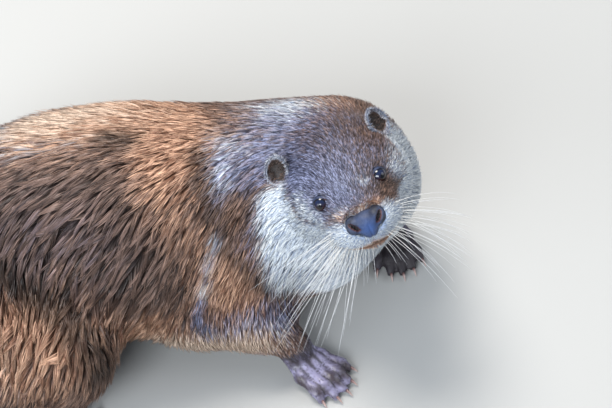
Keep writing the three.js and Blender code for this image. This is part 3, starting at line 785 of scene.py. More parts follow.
add_attribute(skin.data, "marks", mark_rows)
# painted shade on the skin: the deep marks, the cup of each ear and the hollows of the bare paws
add_attribute(skin.data, "deep", np.clip(marks["deep"] + inner_ear + 0.8 * hollow * bare, 0, 1))
bpy.ops.object.select_all(action="DESELECT")
skin.select_set(True)
bpy.context.view_layer.objects.active = skin
bpy.ops.object.mode_set(mode="EDIT")
bpy.ops.mesh.select_all(action="SELECT")
bpy.ops.uv.smart_project(angle_limit=math.radians(60), island_margin=0.003)
bpy.ops.object.mode_set(mode="OBJECT")
skin.data.uv_layers.active.name = "OFBake"
bpy.ops.object.shade_smooth()


class Socket:
    """One output of a node tree, with the sums that can be written on it."""

    def __init__(self, tree, socket):
        self.tree, self.socket = tree, socket

    def node(self, kind, settings=None, inputs=None, output=0):
        made = self.tree.nodes.new(kind)
        for name, value in (settings or {}).items():
            setattr(made, name, value)
        for name, value in (inputs or {}).items():
            if isinstance(value, Socket):
                self.tree.links.new(value.socket, made.inputs[name])
            else:
                made.inputs[name].default_value = value
        return Socket(self.tree, made.outputs[output])

    def sum(self, operation, *others, swap=False):
        terms = (self, *others)[::-1] if swap else (self, *others)
        return self.node("ShaderNodeMath", {"operation": operation}, dict(enumerate(terms)))

    def __add__(self, other):
        return self.sum("ADD", other)

    def __sub__(self, other):
        return self.sum("SUBTRACT", other)

    def __rsub__(self, other):
        return self.sum("SUBTRACT", other, swap=True)

    def __mul__(self, other):
        return self.sum("MULTIPLY", other)

    __radd__, __rmul__ = __add__, __mul__

    def between(self, low, high):
        """0 below low, 1 above high, smooth in between."""
        settings = {"interpolation_type": "SMOOTHSTEP"}
        return self.node("ShaderNodeMapRange", settings, {0: self, 1: low, 2: high})

    def scaled(self, by):
        """A colour made darker or lighter."""
        return self.node("ShaderNodeVectorMath", {"operation": "SCALE"}, {0: self, "Scale": by})

    def mix(self, start, end):
        """From the colour start to the colour end by this share."""
        ends = [c if isinstance(c, Socket) else (*c, 1) for c in (start, end)]
        return self.node(
            "ShaderNodeMix", {"data_type": "RGBA"}, {0: self, 6: ends[0], 7: ends[1]}, output=2
        )

    def noise(self, scale, detail=2.0, stretch=(1, 1, 1)):
        """A noise that is fixed in the piece."""
        place = self.node("ShaderNodeTexCoord", output="Object")
        place = self.node("ShaderNodeMapping", None, {"Vector": place, "Scale": stretch})
        return self.node("ShaderNodeTexNoise", None, {"Vector": place, "Scale": scale, "Detail": detail})

    def attribute(self, name, part):
        """A value that the piece carries, or one part of a colour that it carries."""
        output = {"value": "Fac", "alpha": "Alpha"}.get(part, "Color")
        whole = self.node("ShaderNodeAttribute", {"attribute_name": name}, output=output)
        if output != "Color":
            return whole
        return self.node("ShaderNodeSeparateColor", None, {0: whole}, output=part.capitalize())


def new_material(name, **fixed):
    """A material and a start for its sums. The fixed values go on the shader's own sockets."""
    made = bpy.data.materials.new(name)
    made.use_nodes = True
    shader = made.node_tree.nodes["Principled BSDF"]
    for socket, value in fixed.items():
        shader.inputs[socket.replace("_", " ")].default_value = value
    return made, Socket(made.node_tree, shader.outputs[0])


def feed(start, **sockets):
    """Links what varies over the surface to the shader."""
    shader = start.socket.node
    for name, value in sockets.items():
        start.tree.links.new(value.socket, shader.inputs[name.replace("_", " ")])


# Colours of the hair at its root and at its tip, linear: the brown of the flanks, the tan of the
# upper back (there partly painted light), the blue grey of the neck and forehead (partly grey hair,
# partly a painted sheen of the sky on the wet coat), the cream of cheeks and throat, the peach where
# cream and tan meet, and the bare skin of the paws, dark, with a painted lilac blue sheen
HAIR = {
    "brown": ((0.036, 0.019, 0.014), (0.313, 0.198, 0.155)),
    "tan": ((0.200, 0.082, 0.042), (0.840, 0.510, 0.340)),
    "grey_and_sheen": ((0.052, 0.056, 0.104), (0.430, 0.480, 0.740)),
    "cream": ((0.320, 0.400, 0.560), (0.920, 0.970, 1.000)),
    "peach": ((0.420, 0.240, 0.150), (1.000, 0.800, 0.640)),
    "bare": ((0.046, 0.034, 0.044), (0.245, 0.228, 0.345)),
}
ROOT, TIP = 0, 1


def coat_colour(start, end):
    """The markings' colour, the same on the skin and on the hair."""
    pale, warm, silver_and_sheen, bare = (start.attribute("marks", c) for c in ("red", "green", "blue", "alpha"))
    colour = warm.between(0.0, 1.0).mix(HAIR["brown"][end], HAIR["tan"][end])
    colour = silver_and_sheen.between(0.0, 1.0).mix(colour, HAIR["grey_and_sheen"][end])
    light = warm.between(0.1, 0.9).mix(HAIR["cream"][end], HAIR["peach"][end])
    colour = pale.between(0.05, 0.95).mix(colour, light)
    return bare.between(0.1, 0.9).mix(colour, HAIR["bare"][end])


skin_look, start = new_material("skin_under_the_coat", Specular_IOR_Level=0.5)
dark = start.attribute("marks", "alpha")
folds = start.noise(160, 4.0)
# the skin's colour is darkened by the painted shade of the deep attribute
deep = start.attribute("deep", "value")
# on bare skin, noise patches of lilac blue: partly the skin's mottling, partly a painted sheen
mottled_sheen = start.noise(45, 3.0).between(0.42, 0.62) * (1.0 - deep)
under = (dark * mottled_sheen).mix(coat_colour(start, ROOT), HAIR["bare"][TIP])
bump = start.node("ShaderNodeBump", None, {"Height": folds, "Strength": 0.35, "Distance": 0.0008})
feed(
    start,
    Base_Color=under.scaled(1.0 - deep * 0.6),
    Roughness=0.62 - dark * 0.24 * (1.0 - deep),
    Normal=bump,
)
skin.data.materials.append(skin_look)
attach(skin, "root")
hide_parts(*FLESH, *EARS)

# ---- The coat
# Guard hairs in damp, pointed locks over the skin. A tuft is a thin ridge with a bend in it: its
# root is in the skin, and its tip is drawn to the tip of its lock. What covers one part of the
# body is one piece.

SEED = 20
SPACING = {  # millimetres between the tufts
    "coat_crown": 0.84,
    "coat_neck": 1.12,
    "coat_trunk": 1.36,
    "coat_tail": 2.1,
    "coat_forelegs": 1.6,
    "coat_hind_right": 1.34,
    "coat_hind_left": 2.2,
    "coat_throat": 1.0,
    "coat_face": 0.82,
    "coat_back": 1.36,
    "coat_haunches": 1.6,
}
PARTS_OF_COAT = {
    "coat_crown": ("head",),
    "coat_neck": ("neck",),
    "coat_trunk": ("trunk",),
    "coat_tail": ("tail_root", "tail_middle", "tail_tip"),
    "coat_forelegs": tuple(n for n in FLESH if n.startswith("fore")),
    "coat_hind_right": tuple(n for n in FLESH if n.startswith("hind_right")),
    "coat_hind_left": tuple(n for n in FLESH if n.startswith("hind_left")),
}

skin.data.calc_loop_triangles()
triangle_count = len(skin.data.loop_triangles)
corner = read(skin.data.loop_triangles, "vertices", 3)
loop = read(skin.data.loop_triangles, "loops", 3)
unwrap = read(skin.data.uv_layers["OFBake"].data, "uv", 2, np.float32)
area = 0.5 * np.linalg.norm(
    np.cross(points[corner[:, 1]] - points[corner[:, 0]], points[corner[:, 2]] - points[corner[:, 0]]), axis=1
)

# Which part of the body each face belongs to
nearest = KDTree(sum(len(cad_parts[n].data.vertices) for n in FLESH))
owner = []
for part, nodes in enumerate(PARTS_OF_COAT.values()):
    for node in nodes:
        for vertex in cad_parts[node].data.vertices:
            nearest.insert(vertex.co * 1000, len(owner))
            owner.append(part)
nearest.balance()
owner = np.array(owner)
middles = points[corner].mean(1)
part_of = owner[[nearest.find(m)[1] for m in middles]]
CUT_OFF = [  # a part, the one that it is cut from, and where
    ("coat_face", "coat_crown", to_head(middles)[:, 0] > -34),
    ("coat_back", "coat_trunk", (middles - stance)[:, 0] < -150),
    ("coat_haunches", "coat_back", (middles - stance)[:, 0] < -235),
    ("coat_throat", "coat_neck", to_head(middles)[:, 2] < -45),
]
part_names = [*PARTS_OF_COAT, *(name for name, _, _ in CUT_OFF)]
for name, whole, there in CUT_OFF:
    part_of[(part_of == part_names.index(whole)) & there] = part_names.index(name)

random = np.random.default_rng(SEED)
VIEW_RISE = math.radians(52)  # the otter is seen from in front and above
FAR_SIDE, FAR_SPACING = -0.15, 1.5  # faces turned away by more than this have fewer tufts
EAR_DENSITY = 2.2
view_way = np.array((0, -math.cos(VIEW_RISE), math.sin(VIEW_RISE)))
face_way = normals[corner].mean(1)
spacing = np.array([SPACING[n] for n in part_names])[part_of]
spacing = spacing * np.where(face_way @ view_way < FAR_SIDE, FAR_SPACING, 1.0)
behind_ear = np.zeros(len(points))
for side in (1, -1):
    in_cup = np.linalg.norm(in_head - np.array(EAR_AT) * (1, side, 1), axis=1) < EAR_ROOT
    behind_ear = np.maximum(behind_ear, in_cup & ~is_ear)
no_hair = np.maximum.reduce([inner_ear, 0.75 * bare, lips, behind_ear])[corner].mean(1)
wanted = area / spacing**2 * np.clip(1.15 - no_hair, 0, 1)
wanted = wanted * np.where(is_ear[corner[:, 0]], EAR_DENSITY, 1)
grown = np.floor(wanted + random.random(triangle_count)).astype(int)
on = np.repeat(np.arange(triangle_count), grown)
share = random.random((len(on), 2))
share = np.where(share.sum(1, keepdims=True) > 1, 1 - share, share)
share = np.concatenate((1 - share.sum(1, keepdims=True), share), 1)


def at_roots(values):
    """What the skin's points carry, at the root of each tuft."""
    return (values[corner[on]] * share[..., None]).sum(1)


EAR_HAIR = (3.0, 0.36, 0.6)  # length, width and lift
root = at_roots(points)
root_way = unit(at_roots(normals))
root_marks = at_roots(mark_rows)
root_uv = (unwrap[loop[on]] * share[..., None]).sum(1)
hair_way, hair_lie = comb(root, root_way)
part = part_of[on]
depth, length, width, lift = hair_lie.T
count = len(root)
on_ear = at_roots(is_ear[:, None].astype(float))[:, 0]
length, width, lift = (
    np.where(on_ear > 0.5, ears_own, value) for ears_own, value in zip(EAR_HAIR, (length, width, lift))
)

# Locks: some of the roots lead, and the tufts round each of them lean to its tip. On the flank and
# the thigh the coat is wet, and its locks are big and pointed.
WET = [
    ((-195, -140, 150), (70, 60, 50)),
    ((-225, -215, 100), (60, 45, 50)),
    ((-150, -170, 120), (40, 40, 40)),
]
LOCK = (2.4, 5.6)  # millimetres between the locks where the coat is dry and wet
SLENDER = 0.42  # a lock's reach along the hair counts for this much of its reach across
NEIGHBOURS = 6  # leading tufts that a tuft chooses from
LOCK_TURN, TUFT_TURN = 0.12, 0.06  # radians to the side
GATHERED_DRY, GATHERED_WET = 0.36, 0.50  # share of the way to the lock's tip, and what wet adds
TIP_OVER_FLOOR, BEND_OVER_FLOOR, ROOT_OVER_FLOOR = 0.6, 0.8, 0.1
ROOT_DEPTH = 0.4  # of a tuft's corners under the skin
wet = np.clip(sum(spot(root - stance, centre, radii) for centre, radii in WET) * 1.3, 0, 1)
length = length * (1 + 0.3 * wet)
lock_size = (LOCK[0] + (LOCK[1] - LOCK[0]) * wet) * np.clip(length / 12, 0.62, 1.1)
lead = np.flatnonzero(random.random(count) < (spacing[on] / lock_size) ** 2)
tree = KDTree(len(lead))
for i, k in enumerate(lead):
    tree.insert(root[k], i)
tree.balance()
leader = np.empty(count, int)
for k in range(count):
    near = [lead[i] for _, i, _ in tree.find_n(root[k], NEIGHBOURS)]
    off = root[near] - root[k]
    ahead = off @ hair_way[k]
    leader[k] = near[int(np.argmin((off**2).sum(1) - (1 - SLENDER**2) * ahead**2))]
turn_of_lock = random.normal(0, LOCK_TURN, count)[leader] * (1 + 0.8 * wet)
turn_of_lock = turn_of_lock + random.normal(0, TUFT_TURN, count)
aside = np.cross(root_way, hair_way)
hair_way = unit(hair_way + aside * np.tan(turn_of_lock)[:, None])
length = length * (0.8 + 0.4 * random.random(count)) * (0.9 + 0.2 * random.random(count)[leader])
off = root[leader] - root
across = np.sqrt(np.maximum((off**2).sum(1) - (off * hair_way).sum(1) ** 2, 0))
edge = np.clip(across / (0.5 * lock_size), 0, 1)  # 0 on the crest of a lock, 1 between two
rise = np.clip(lift * (0.7 + 0.6 * random.random(count)) * (1.25 - 0.55 * edge), 0.05, 1.2)
tip = root + length[:, None] * (np.cos(rise)[:, None] * hair_way + np.sin(rise)[:, None] * root_way)
# gathered across the lock more than along it
gathered = (GATHERED_DRY + GATHERED_WET * wet)[:, None] * np.clip(length / 6, 0.6, 1)[:, None]
off = tip[leader] - tip
along_lock = (off * hair_way).sum(1, keepdims=True) * hair_way
tip = tip + gathered * (off - along_lock) + 0.35 * gathered * along_lock
tip += random.normal(0, 0.02, (count, 3)) * length[:, None]
bend = root + 0.5 * (tip - root) + root_way * (0.07 * length)[:, None]
tip[:, 2] = np.maximum(tip[:, 2], TIP_OVER_FLOOR)
bend[:, 2] = np.maximum(bend[:, 2], BEND_OVER_FLOOR)

# Each tuft: three corners at the root, three at the bend, and the tip
along = unit(tip - root)
aside = unit(np.cross(along, root_way))
outward = np.cross(aside, along)
half = (0.5 * width * (0.6 + 0.8 * random.random(count)))[:, None]
corners = np.stack(
    [
        root - root_way * ROOT_DEPTH - aside * half,
        root - root_way * ROOT_DEPTH + aside * half,
        root + outward * half * 0.8,
        bend - aside * half * 0.9,
        bend + aside * half * 0.9,
        bend + outward * half * 0.75,
        tip,
    ],
    1,
)
corners[:, :, 2] = np.maximum(corners[:, :, 2], ROOT_OVER_FLOOR)
ALONG = np.array((0, 0, 0, 0.55, 0.55, 0.55, 1.0))
ACROSS = np.array((-1, 1, 0, -1, 1, 0, 0))
QUADS = np.array([(0, 2, 5, 3), (2, 1, 4, 5), (1, 0, 3, 4)])
TIPS = np.array([(3, 5, 6), (5, 4, 6), (4, 3, 6)])
PATCH = 0.003  # across one tuft's place on the unwrap
GREY_PARTS = ("coat_face", "coat_crown", "coat_neck", "coat_throat")
FLECKED = 3.6  # how sharply hairs part into one colour or the other where two meet
MARKED_AT = 0.55  # of a tuft's length: the place that it takes its marks from

shown = marks_at(root + MARKED_AT * length[:, None] * hair_way)
own_skin = (on_ear > 0.5) | (root_marks[:, 3] > 0.3)
for k, mark in enumerate(("pale", "warm", "silver_and_sheen")):
    root_marks[:, k] = np.where(own_skin, root_marks[:, k], shown[mark])
root_painted_shade = shown["deep"]
# where two colours meet, some hairs are wholly of one and some of the other
for k in range(3):
    fleck = 0.5 * random.random(count) + 0.5 * random.random(count)[leader] - 0.5
    value = root_marks[:, k]
    root_marks[:, k] = np.clip(value + FLECKED * value * (1 - value) * fleck, 0, 1)
# each hair's own tone at random, and darker between two locks: painted shade in the gaps
tone_and_gap_shade = random.random(count) * (1 - 0.45 * edge)
tone_of_lock = random.random(count)[leader]

coat_look, start = new_material("guard_hair", Specular_IOR_Level=0.5)
along_hair = start.attribute("strand", "red")
own_tone_and_gap_shade = start.attribute("strand", "green")
lock_tone = start.attribute("strand", "blue")
# painted shade, from the deep marks
deep = start.attribute("strand", "alpha")
# some hairs are light to the root, and some are dark to the tip
pale = start.attribute("marks", "red")
light = own_tone_and_gap_shade * 0.60 + lock_tone * 0.55 + along_hair * 0.50 + pale * 0.24 - 0.44
hair = light.between(0.0, 1.0).mix(coat_colour(start, ROOT), coat_colour(start, TIP))
# painted shade: each tuft darker towards its root, where the hairs over it shade it, and darker still where
# the deep marks lie
shade = (along_hair * 0.60 + 0.40) * (1.0 - deep * 0.72)
feed(start, Base_Color=hair.scaled(shade), Roughness=0.52 - own_tone_and_gap_shade * 0.14)

for number, name in enumerate(part_names):
    mine = np.flatnonzero(part == number)
    n = len(mine)
    mesh = bpy.data.meshes.new(name)
    mesh.vertices.add(n * 7)
    move_to(mesh, corners[mine].reshape(-1, 3))
    first = (np.arange(n) * 7)[:, None, None]
    quads, tips_of = (QUADS + first).reshape(-1, 4), (TIPS + first).reshape(-1, 3)
    loops = np.concatenate((quads.ravel(), tips_of.ravel()))
    mesh.loops.add(len(loops))
    mesh.loops.foreach_set("vertex_index", loops.astype(np.int32))
    mesh.polygons.add(len(quads) + len(tips_of))
    loop_starts = np.concatenate((np.arange(len(quads)) * 4, len(quads) * 4 + np.arange(len(tips_of)) * 3))
    mesh.polygons.foreach_set("loop_start", loop_starts.astype(np.int32))
    mesh.update(calc_edges=True)
    add_attribute(mesh, "marks", np.repeat(root_marks[mine], 7, axis=0))
    strand = np.stack(
        (np.tile(ALONG, n), *(np.repeat(v[mine], 7) for v in (tone_and_gap_shade, tone_of_lock, root_painted_shade))), 1
    )
    add_attribute(mesh, "strand", strand)
    spread = np.stack((np.tile(ACROSS, n), np.tile(2 * ALONG - 1, n)), 1) * PATCH / 2
    patch = np.clip(np.repeat(root_uv[mine], 7, axis=0) + spread, 0, 1)
    layer = mesh.uv_layers.new(name="OFBake")
    layer.data.foreach_set("uv", patch[loops].astype(np.float32).ravel())
    mesh.polygons.foreach_set("use_smooth", np.ones(len(mesh.polygons), bool))
    piece = bpy.data.objects.new(name, mesh)
    bpy.context.collection.objects.link(piece)
    mesh.materials.append(coat_look)
    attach(piece, "root")
    "coat_grey" if name in GREY_PARTS else "coat_brown"

# ---- The eyes
# Dark, wet eyes, each a ball with the clear bulge of the cornea, in a rim of bare lids.

EYE_RADIUS = 7.0
EYE_AT = (-2.5, 25.0, -2.0)
GAZE = (0.86, 0.42, 0.18)  # to the left side of the head; the right eye's is its mirror
LID_OPENING, LID_WIDTH = 1.06, 0.40  # radians from the gaze

eye_look, start = new_material(
    "wet_eye", Roughness=0.05, Coat_Weight=0.25, Coat_Roughness=0.02, Specular_IOR_Level=0.35
)
gaze_part = start.attribute("pupil", "value")
# the iris: dark brown below and blue over its upper half, where the blue is a painted reflection of the sky
painted_reflection_height = start.attribute("painted_reflection_height", "value").between(0.35, 0.75)
iris = painted_reflection_height.mix((0.026, 0.010, 0.008), (0.009, 0.015, 0.042))
iris = gaze_part.between(0.30, 0.50).mix((0.002, 0.002, 0.004), iris)
feed(start, Base_Color=gaze_part.between(0.92, 1.05).mix(iris, (0.006, 0.006, 0.008)))
lid_look, start = new_material("lid_skin", Specular_IOR_Level=0.15, Roughness=0.5)
wrinkle = start.noise(900, 3.0)
feed(
    start,
    Base_Color=start.attribute("inner", "value").mix(
        start.noise(300).mix((0.010, 0.012, 0.024), (0.045, 0.060, 0.115)), (0.22, 0.085, 0.035)
    ),
    Normal=start.node("ShaderNodeBump", None, {"Height": wrinkle, "Strength": 0.4, "Distance": 0.0003}),
)
for side, name in ((1, "left"), (-1, "right")):
    gaze = unit(np.array((GAZE[0], GAZE[1] * side, GAZE[2])))
    beside = unit(np.cross((0, 0, 1), gaze))
    above = np.cross(gaze, beside)
    middle = np.array(EYE_AT) * (1, side, 1)

    bpy.ops.object.select_all(action="DESELECT")
    bpy.ops.mesh.primitive_uv_sphere_add(segments=64, ring_count=40, radius=1)
    eye = bpy.context.object
    eye.name = eye.data.name = "eyeball_" + name
    ball = coordinates(eye.data) / 1000
    off = np.hypot(ball[:, 0], ball[:, 1])
    swell = 1 + 0.07 * np.where(ball[:, 2] > 0, np.exp(-((off / 0.55) ** 4)), 0)
    shaped = ball * EYE_RADIUS * swell[:, None]
    move_to(eye.data, from_head(middle + shaped @ np.array((beside, above, gaze))))
    add_attribute(eye.data, "pupil", np.where(ball[:, 2] > 0, off, 1.2) / 0.75)
    # the height over the ball, where the painted reflection of the sky lies
    add_attribute(eye.data, "painted_reflection_height", (ball[:, 1] + 1) / 2)
    bpy.ops.object.shade_smooth()
    eye.data.materials.append(eye_look)
    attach(eye, "root")
    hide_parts("eye_" + name)

    # the lids: a closed roll round the eye, its outer edge under the fur
    bpy.ops.object.select_all(action="DESELECT")
    bpy.ops.mesh.primitive_torus_add(
        major_segments=72, minor_segments=16, major_radius=1, minor_radius=0.25
    )
    lid = bpy.context.object
    lid.name = lid.data.name = "lids_" + name
    ring = coordinates(lid.data) / 1000
    turn = np.arctan2(ring[:, 1], ring[:, 0])
    roll = np.arctan2(ring[:, 2], np.hypot(ring[:, 0], ring[:, 1]) - 1)
    outer = (1 + np.cos(roll)) / 2
    swing = LID_OPENING + 0.07 * np.abs(np.cos(turn)) ** 3 - 0.05 * np.sin(turn).clip(0) + LID_WIDTH * outer
    out = EYE_RADIUS * (1.015 + 0.045 * np.sin(roll) + 0.03 * outer)
    shaped = (np.sin(swing) * np.cos(turn))[:, None] * beside
    shaped = shaped + (np.sin(swing) * np.sin(turn))[:, None] * above + np.cos(swing)[:, None] * gaze
    move_to(lid.data, from_head(middle + out[:, None] * shaped))
    turn_outwards()
    bpy.ops.object.shade_smooth()
    add_attribute(lid.data, "inner", np.clip(-side * np.cos(turn + 0.3 * side), 0, 1) ** 12)
    lid.data.materials.append(lid_look)
    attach(lid, "root")

# ---- The nose pad
# Bare, damp, blue-black skin, pebbled, with two comma nostrils that open to the sides and a cleft
# below. It sits proud of the fur on the end of the muzzle.

NOSE_CELL = 0.0006
NOSE_BALLS = [
    ((24.5, 0, -19.5), (9.5, 10.5, 11.0)),
    ((23, 10, -18.5), (8.5, 7.5, 8.0)),
    ((23, -10, -18.5), (8.5, 7.5, 8.0)),
    ((26, 0, -27.5), (6.0, 6.5, 5.5)),
]
bpy.ops.object.select_all(action="DESELECT")
lumps = []
for centre, radii in NOSE_BALLS:
    bpy.ops.mesh.primitive_uv_sphere_add(segments=32, ring_count=20, radius=1)
    lump = bpy.context.object
    in_order(lump)
    move_to(lump.data, from_head(coordinates(lump.data) / 1000 * np.array(radii) + np.array(centre)))
    lumps.append(lump)
nose = join(lumps[-1], *lumps[:-1])
nose.name = nose.data.name = "nose_pad"
close_over(nose, NOSE_CELL)
points_of_nose = relax(nose.data, coordinates(nose.data), np.full(len(nose.data.vertices), 0.5), 14)
n = to_head(points_of_nose)
move_to(nose.data, points_of_nose)
ahead = normals_of(nose.data) @ head_turn
wing = np.abs(n[:, 1])
# each nostril: a slanting comma, from low and inward to high and outward
hole = np.zeros(len(n))
for y, z, deep in ((8.6, -19.6, 0.7), (9.9, -17.6, 1.0), (11.3, -15.9, 1.0), (12.7, -14.4, 0.7)):
    hole = np.maximum(hole, deep * np.exp(-(((wing - y) / 2.0) ** 2) - ((n[:, 2] - z) / 1.7) ** 2))
hole *= smoothstep(0.0, 0.35, ahead[:, 0] + 0.3) * (n[:, 0] > 22)
cleft = np.exp(-((n[:, 1] / 0.9) ** 2)) * smoothstep(-14, -22, n[:, 2]) * (ahead[:, 0] > 0.1)
dip = np.exp(-(((n[:, 1]) / 4.0) ** 2 + ((n[:, 2] + 9) / 2.5) ** 2))
move = ahead * (-0.9 * cleft - 0.8 * dip)[:, None]
move[:, 0] -= 5.5 * hole
pebble = np.sin(n[:, 0] * 2.9 + 1) * np.sin(n[:, 1] * 3.3) * np.sin(n[:, 2] * 3.1 + n[:, 1])
n = n + move + ahead * (0.3 * pebble * (1 - hole))[:, None]
points_of_nose = relax(nose.data, from_head(n), np.full(len(n), 0.3), 2)
move_to(nose.data, points_of_nose)
add_attribute(nose.data, "hole", np.clip(hole + 0.15 * cleft, 0, 1))
# the front of the pad: a painted reflection of the sky, bright blue on the damp skin
add_attribute(nose.data, "front", spot(n, (30, 0, -21), (7.5, 6.5, 8)))
bpy.ops.object.shade_smooth()
nose_look, start = new_material(
    "damp_nose", Coat_Weight=0.12, Coat_Roughness=0.40, Specular_IOR_Level=0.5
)
hole = start.attribute("hole", "value")
place = start.node("ShaderNodeTexCoord", output="Object")
pebbles = start.node(
    "ShaderNodeTexVoronoi", {"feature": "DISTANCE_TO_EDGE"}, {"Vector": place, "Scale": 1100.0}
)
patches = start.noise(140, 3.0)
colour = patches.between(0.35, 0.65).mix((0.008, 0.010, 0.020), (0.022, 0.034, 0.075))
# the front: painted reflection of the sky in bright blue
colour = start.attribute("front", "value").mix(colour, (0.036, 0.098, 0.310))
# inside each nostril reddish skin, and deeper in black: painted shade in the hole
colour = hole.between(0.15, 0.40).mix(colour, (0.075, 0.020, 0.022))
colour = hole.between(0.35, 0.60).mix(colour, (0.004, 0.003, 0.005))
bump = start.node(
    "ShaderNodeBump", None, {"Height": pebbles.between(0.0, 0.25), "Strength": 0.6, "Distance": 0.0003}
)
feed(start, Base_Color=colour, Roughness=0.50 + patches * 0.15, Normal=bump)
nose.data.materials.append(nose_look)
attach(nose, "root")
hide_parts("nose")

# ---- The claws
# Five short, curved claws on each foot, pinkish tan horn, darker at the root. One is shaped, and
# the rest are its copies.

CLAW_LENGTH = 6.8
bpy.ops.object.select_all(action="DESELECT")
bpy.ops.mesh.primitive_cone_add(vertices=12, radius1=1, radius2=0.12, depth=1, end_fill_type="NGON")
claw = bpy.context.object
bpy.ops.object.mode_set(mode="EDIT")
bpy.ops.mesh.select_all(action="SELECT")
bpy.ops.mesh.subdivide(number_cuts=2)
bpy.ops.object.mode_set(mode="OBJECT")
first_claw = coordinates(claw.data) / 1000
reach = first_claw[:, 2] + 0.5
claws = []
for name in PAWS:
    under_wrist, axes = paw_frame(name)
    for toe, (_, _, joint, tip) in enumerate(toe_points(name)):
        base = tip + unit(tip - joint) * (1, 1, 0) * (PAWS[name][5] - 4.0) + (0, 0, 1.2)
        splay = math.atan2(tip[1] - joint[1], tip[0] - joint[0])
        # wide at the root, thinner and bent down to the point
        taper = 1.7 * (1 - 0.9 * reach**1.6)
        x = reach * CLAW_LENGTH
        y = first_claw[:, 0] / np.maximum(1 - 0.88 * reach, 0.1) * taper * 0.8
        z = first_claw[:, 1] / np.maximum(1 - 0.88 * reach, 0.1) * taper - 3.6 * reach**2
        ahead, aside = (math.cos(splay), math.sin(splay)), (-math.sin(splay), math.cos(splay))
        own = base + np.stack((x * ahead[0] + y * aside[0], x * ahead[1] + y * aside[1], z), 1)
        own[:, 2] = np.maximum(own[:, 2], 0.1)
        placed = under_wrist + own @ axes
        copied = bpy.data.objects.new(f"claw_{name}_{toe}", claw.data.copy())
        bpy.context.collection.objects.link(copied)
        move_to(copied.data, placed)
        add_attribute(copied.data, "reach", reach)
        claws.append(copied)
bpy.data.objects.remove(claw)
claws = join(*claws)
claws.name = claws.data.name = "claws"
turn_outwards()
bpy.ops.object.shade_smooth()
claw_look, start = new_material("claw_horn", Specular_IOR_Level=0.55, Coat_Weight=0.3, Coat_Roughness=0.2)
horn = start.attribute("reach", "value").between(0.1, 0.9).mix((0.16, 0.09, 0.085), (0.42, 0.30, 0.27))
streaks = start.noise(500, 2.0, (1, 1, 0.3))
feed(start, Base_Color=horn.scaled(0.8 + streaks * 0.4), Roughness=0.32 + streaks * 0.15)
claws.data.materials.append(claw_look)
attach(claws, "root")

# ---- The whiskers
# Long white bristles in rows on the pads beside the nose and a few on the chin, tapered, and bent
# back and down by their own weight.

# in the head: root, way out and length of each row's first and then its last whisker, and how many
WHISKERS = [
    ((21, 14, -22), (0.05, 1.0, -0.30), 62, (16, 22, -20), (-0.25, 1.0, -0.15), 60, 4),
    ((23, 14, -26), (0.10, 1.0, -0.50), 78, (15, 24, -24), (-0.20, 1.0, -0.35), 76, 6),
    ((24, 13, -30), (0.15, 1.0, -0.70), 88, (13, 25, -28), (-0.15, 1.0, -0.55), 84, 8),
    ((24, 12, -34), (0.20, 0.8, -0.95), 84, (11, 25, -32), (-0.10, 0.9, -0.85), 84, 8),
    ((23, 11, -38), (0.15, 0.5, -1.00), 66, (9, 24, -36), (-0.05, 0.7, -1.00), 72, 7),
    ((14, 4, -50), (0.1, 0.3, -1.0), 26, (0, 14, -50), (-0.1, 0.4, -1.0), 36, 6),
]
SEGMENTS, SIDES = 10, 5
WHISKER_ROOT, WHISKER_TIP = 0.25, 0.05
FARTHEST = 448.0  # how far right a tip may come
skin_tree = KDTree(len(points))
for i, p in enumerate(points):
    skin_tree.insert(p, i)
skin_tree.balance()
bristles = []
for root_a, way_a, long_a, root_b, way_b, long_b, many in WHISKERS:
    for side in (1, -1):
        for k in range(many):
            t = k / max(many - 1, 1)
            flip = np.array((1, side, 1))
            at = ((1 - t) * np.array(root_a, float) + t * np.array(root_b)) * flip
            way = unit(((1 - t) * np.array(way_a) + t * np.array(way_b) + random.normal(0, 0.07, 3)) * flip)
            long = ((1 - t) * long_a + t * long_b) * (0.8 + 0.35 * random.random())
            at = points[skin_tree.find(from_head(at))[1]]
            way = head_turn @ way
            s = np.linspace(0, 1, SEGMENTS + 1)[:, None]
            curl = random.normal(0, 0.05, 3) + head_turn @ (-0.14, 0, 0) + (0, 0, -0.40)
            line = at - way + (way * s + curl * s**2) * long
            line = at + (line - at) * min(1, (FARTHEST - at[0]) / max(line[-1][0] - at[0], 1))
            bristles.append(line)
hairs, faces = [], []
for line in bristles:
    ahead = unit(np.gradient(line, axis=0))
    across = unit(np.cross(ahead, (0.2, 0.3, 1.0)))
    over = np.cross(ahead, across)
    t = np.linspace(0, 1, SEGMENTS + 1)[:, None]
    thick = WHISKER_ROOT * (1 - t) + WHISKER_TIP * t
    angles = 2 * math.pi * np.arange(SIDES) / SIDES
    first = len(hairs) * (SEGMENTS + 1) * SIDES
    round_it = [line + thick * (math.cos(a) * across + math.sin(a) * over) for a in angles]
    hairs.append(np.stack(round_it, 1).reshape(-1, 3))
    for s in range(SEGMENTS):
        for k in range(SIDES):
            low, high = first + s * SIDES, first + (s + 1) * SIDES
            faces.append((low + k, low + (k + 1) % SIDES, high + (k + 1) % SIDES, high + k))
    faces.append(tuple(first + k for k in reversed(range(SIDES))))
    faces.append(tuple(first + SEGMENTS * SIDES + k for k in range(SIDES)))
mesh = bpy.data.meshes.new("whiskers")
mesh.from_pydata(np.concatenate(hairs) / 1000, [], faces)
whiskers = bpy.data.objects.new("whiskers", mesh)
bpy.context.collection.objects.link(whiskers)
mesh.polygons.foreach_set("use_smooth", np.ones(len(mesh.polygons), bool))
add_attribute(mesh, "along", np.tile(np.repeat(np.linspace(0, 1, SEGMENTS + 1), SIDES), len(bristles)))
whisker_look, start = new_material("whisker", Roughness=0.35, Specular_IOR_Level=0.5)
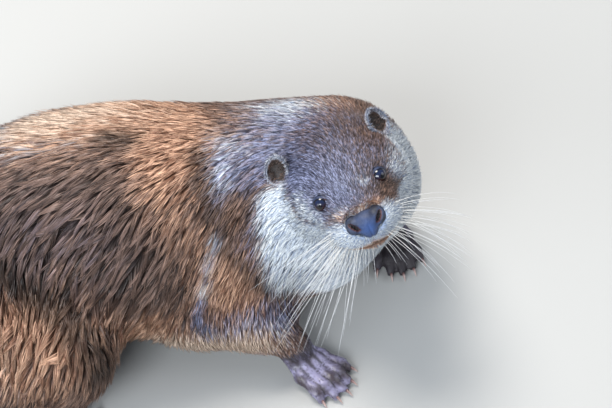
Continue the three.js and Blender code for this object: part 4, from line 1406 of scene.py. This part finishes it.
feed(start, Base_Color=start.attribute("along", "value").mix((0.62, 0.60, 0.56), (0.86, 0.88, 0.92)))
mesh.materials.append(whisker_look)
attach(whiskers, "root")

# ---- The floor, the light and the camera
# A pale studio floor under soft daylight from above and behind, with a broad cool fill.

bpy.ops.object.select_all(action="DESELECT")
bpy.ops.mesh.primitive_plane_add(size=12, location=(0, 0, -0.0005))
floor = bpy.context.object
floor.name = "studio_floor"
floor_look, start = new_material("studio_floor", Roughness=0.8)
feed(start, Base_Color=start.noise(1.5, 2.0).mix((0.36, 0.36, 0.35), (0.41, 0.41, 0.40)))
floor.data.materials.append(floor_look)
floor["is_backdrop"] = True

LAMPS = [
    # name, place, size, watts, colour: all face the otter
    ("key", (-0.6, 0.85, 2.6), 1.2, 112, (1.0, 0.96, 0.91)),
    ("front", (-0.6, -2.3, 2.0), 1.3, 86, (0.90, 0.95, 1.0)),
    ("right", (2.2, 0.2, 1.4), 1.6, 20, (0.90, 0.95, 1.0)),
    ("left", (-1.8, -1.6, 1.0), 1.4, 36, (0.88, 0.94, 1.0)),
]
AIM = Vector((0.1, 0.0, 0.1))
for name, place, size, watts, colour in LAMPS:
    bpy.ops.object.light_add(type="AREA", location=place)
    lamp = bpy.context.object
    lamp.name = "lamp_" + name
    lamp.data.size, lamp.data.energy, lamp.data.color = size, watts, colour
    lamp.rotation_euler = (AIM - lamp.location).to_track_quat("-Z", "Y").to_euler()
world = bpy.data.worlds.new("daylight")
bpy.context.scene.world = world
world.use_nodes = True
world.node_tree.nodes["Background"].inputs["Color"].default_value = (0.78, 0.86, 1.0, 1)
world.node_tree.nodes["Background"].inputs["Strength"].default_value = 0.38

CAMERA_AT = np.array((0.0, -1169.8, 1497.2))  # millimetres, from the same point as the pose
CAMERA_LENS = 121.94
bpy.ops.object.camera_add(location=(stance + CAMERA_AT) / 1000, rotation=(math.radians(38), 0, 0))
camera = bpy.context.object
camera.data.lens = CAMERA_LENS
camera.data.sensor_width = 36
bpy.context.scene.camera = camera

bpy.context.scene.view_settings.view_transform = "Standard"

low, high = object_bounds()
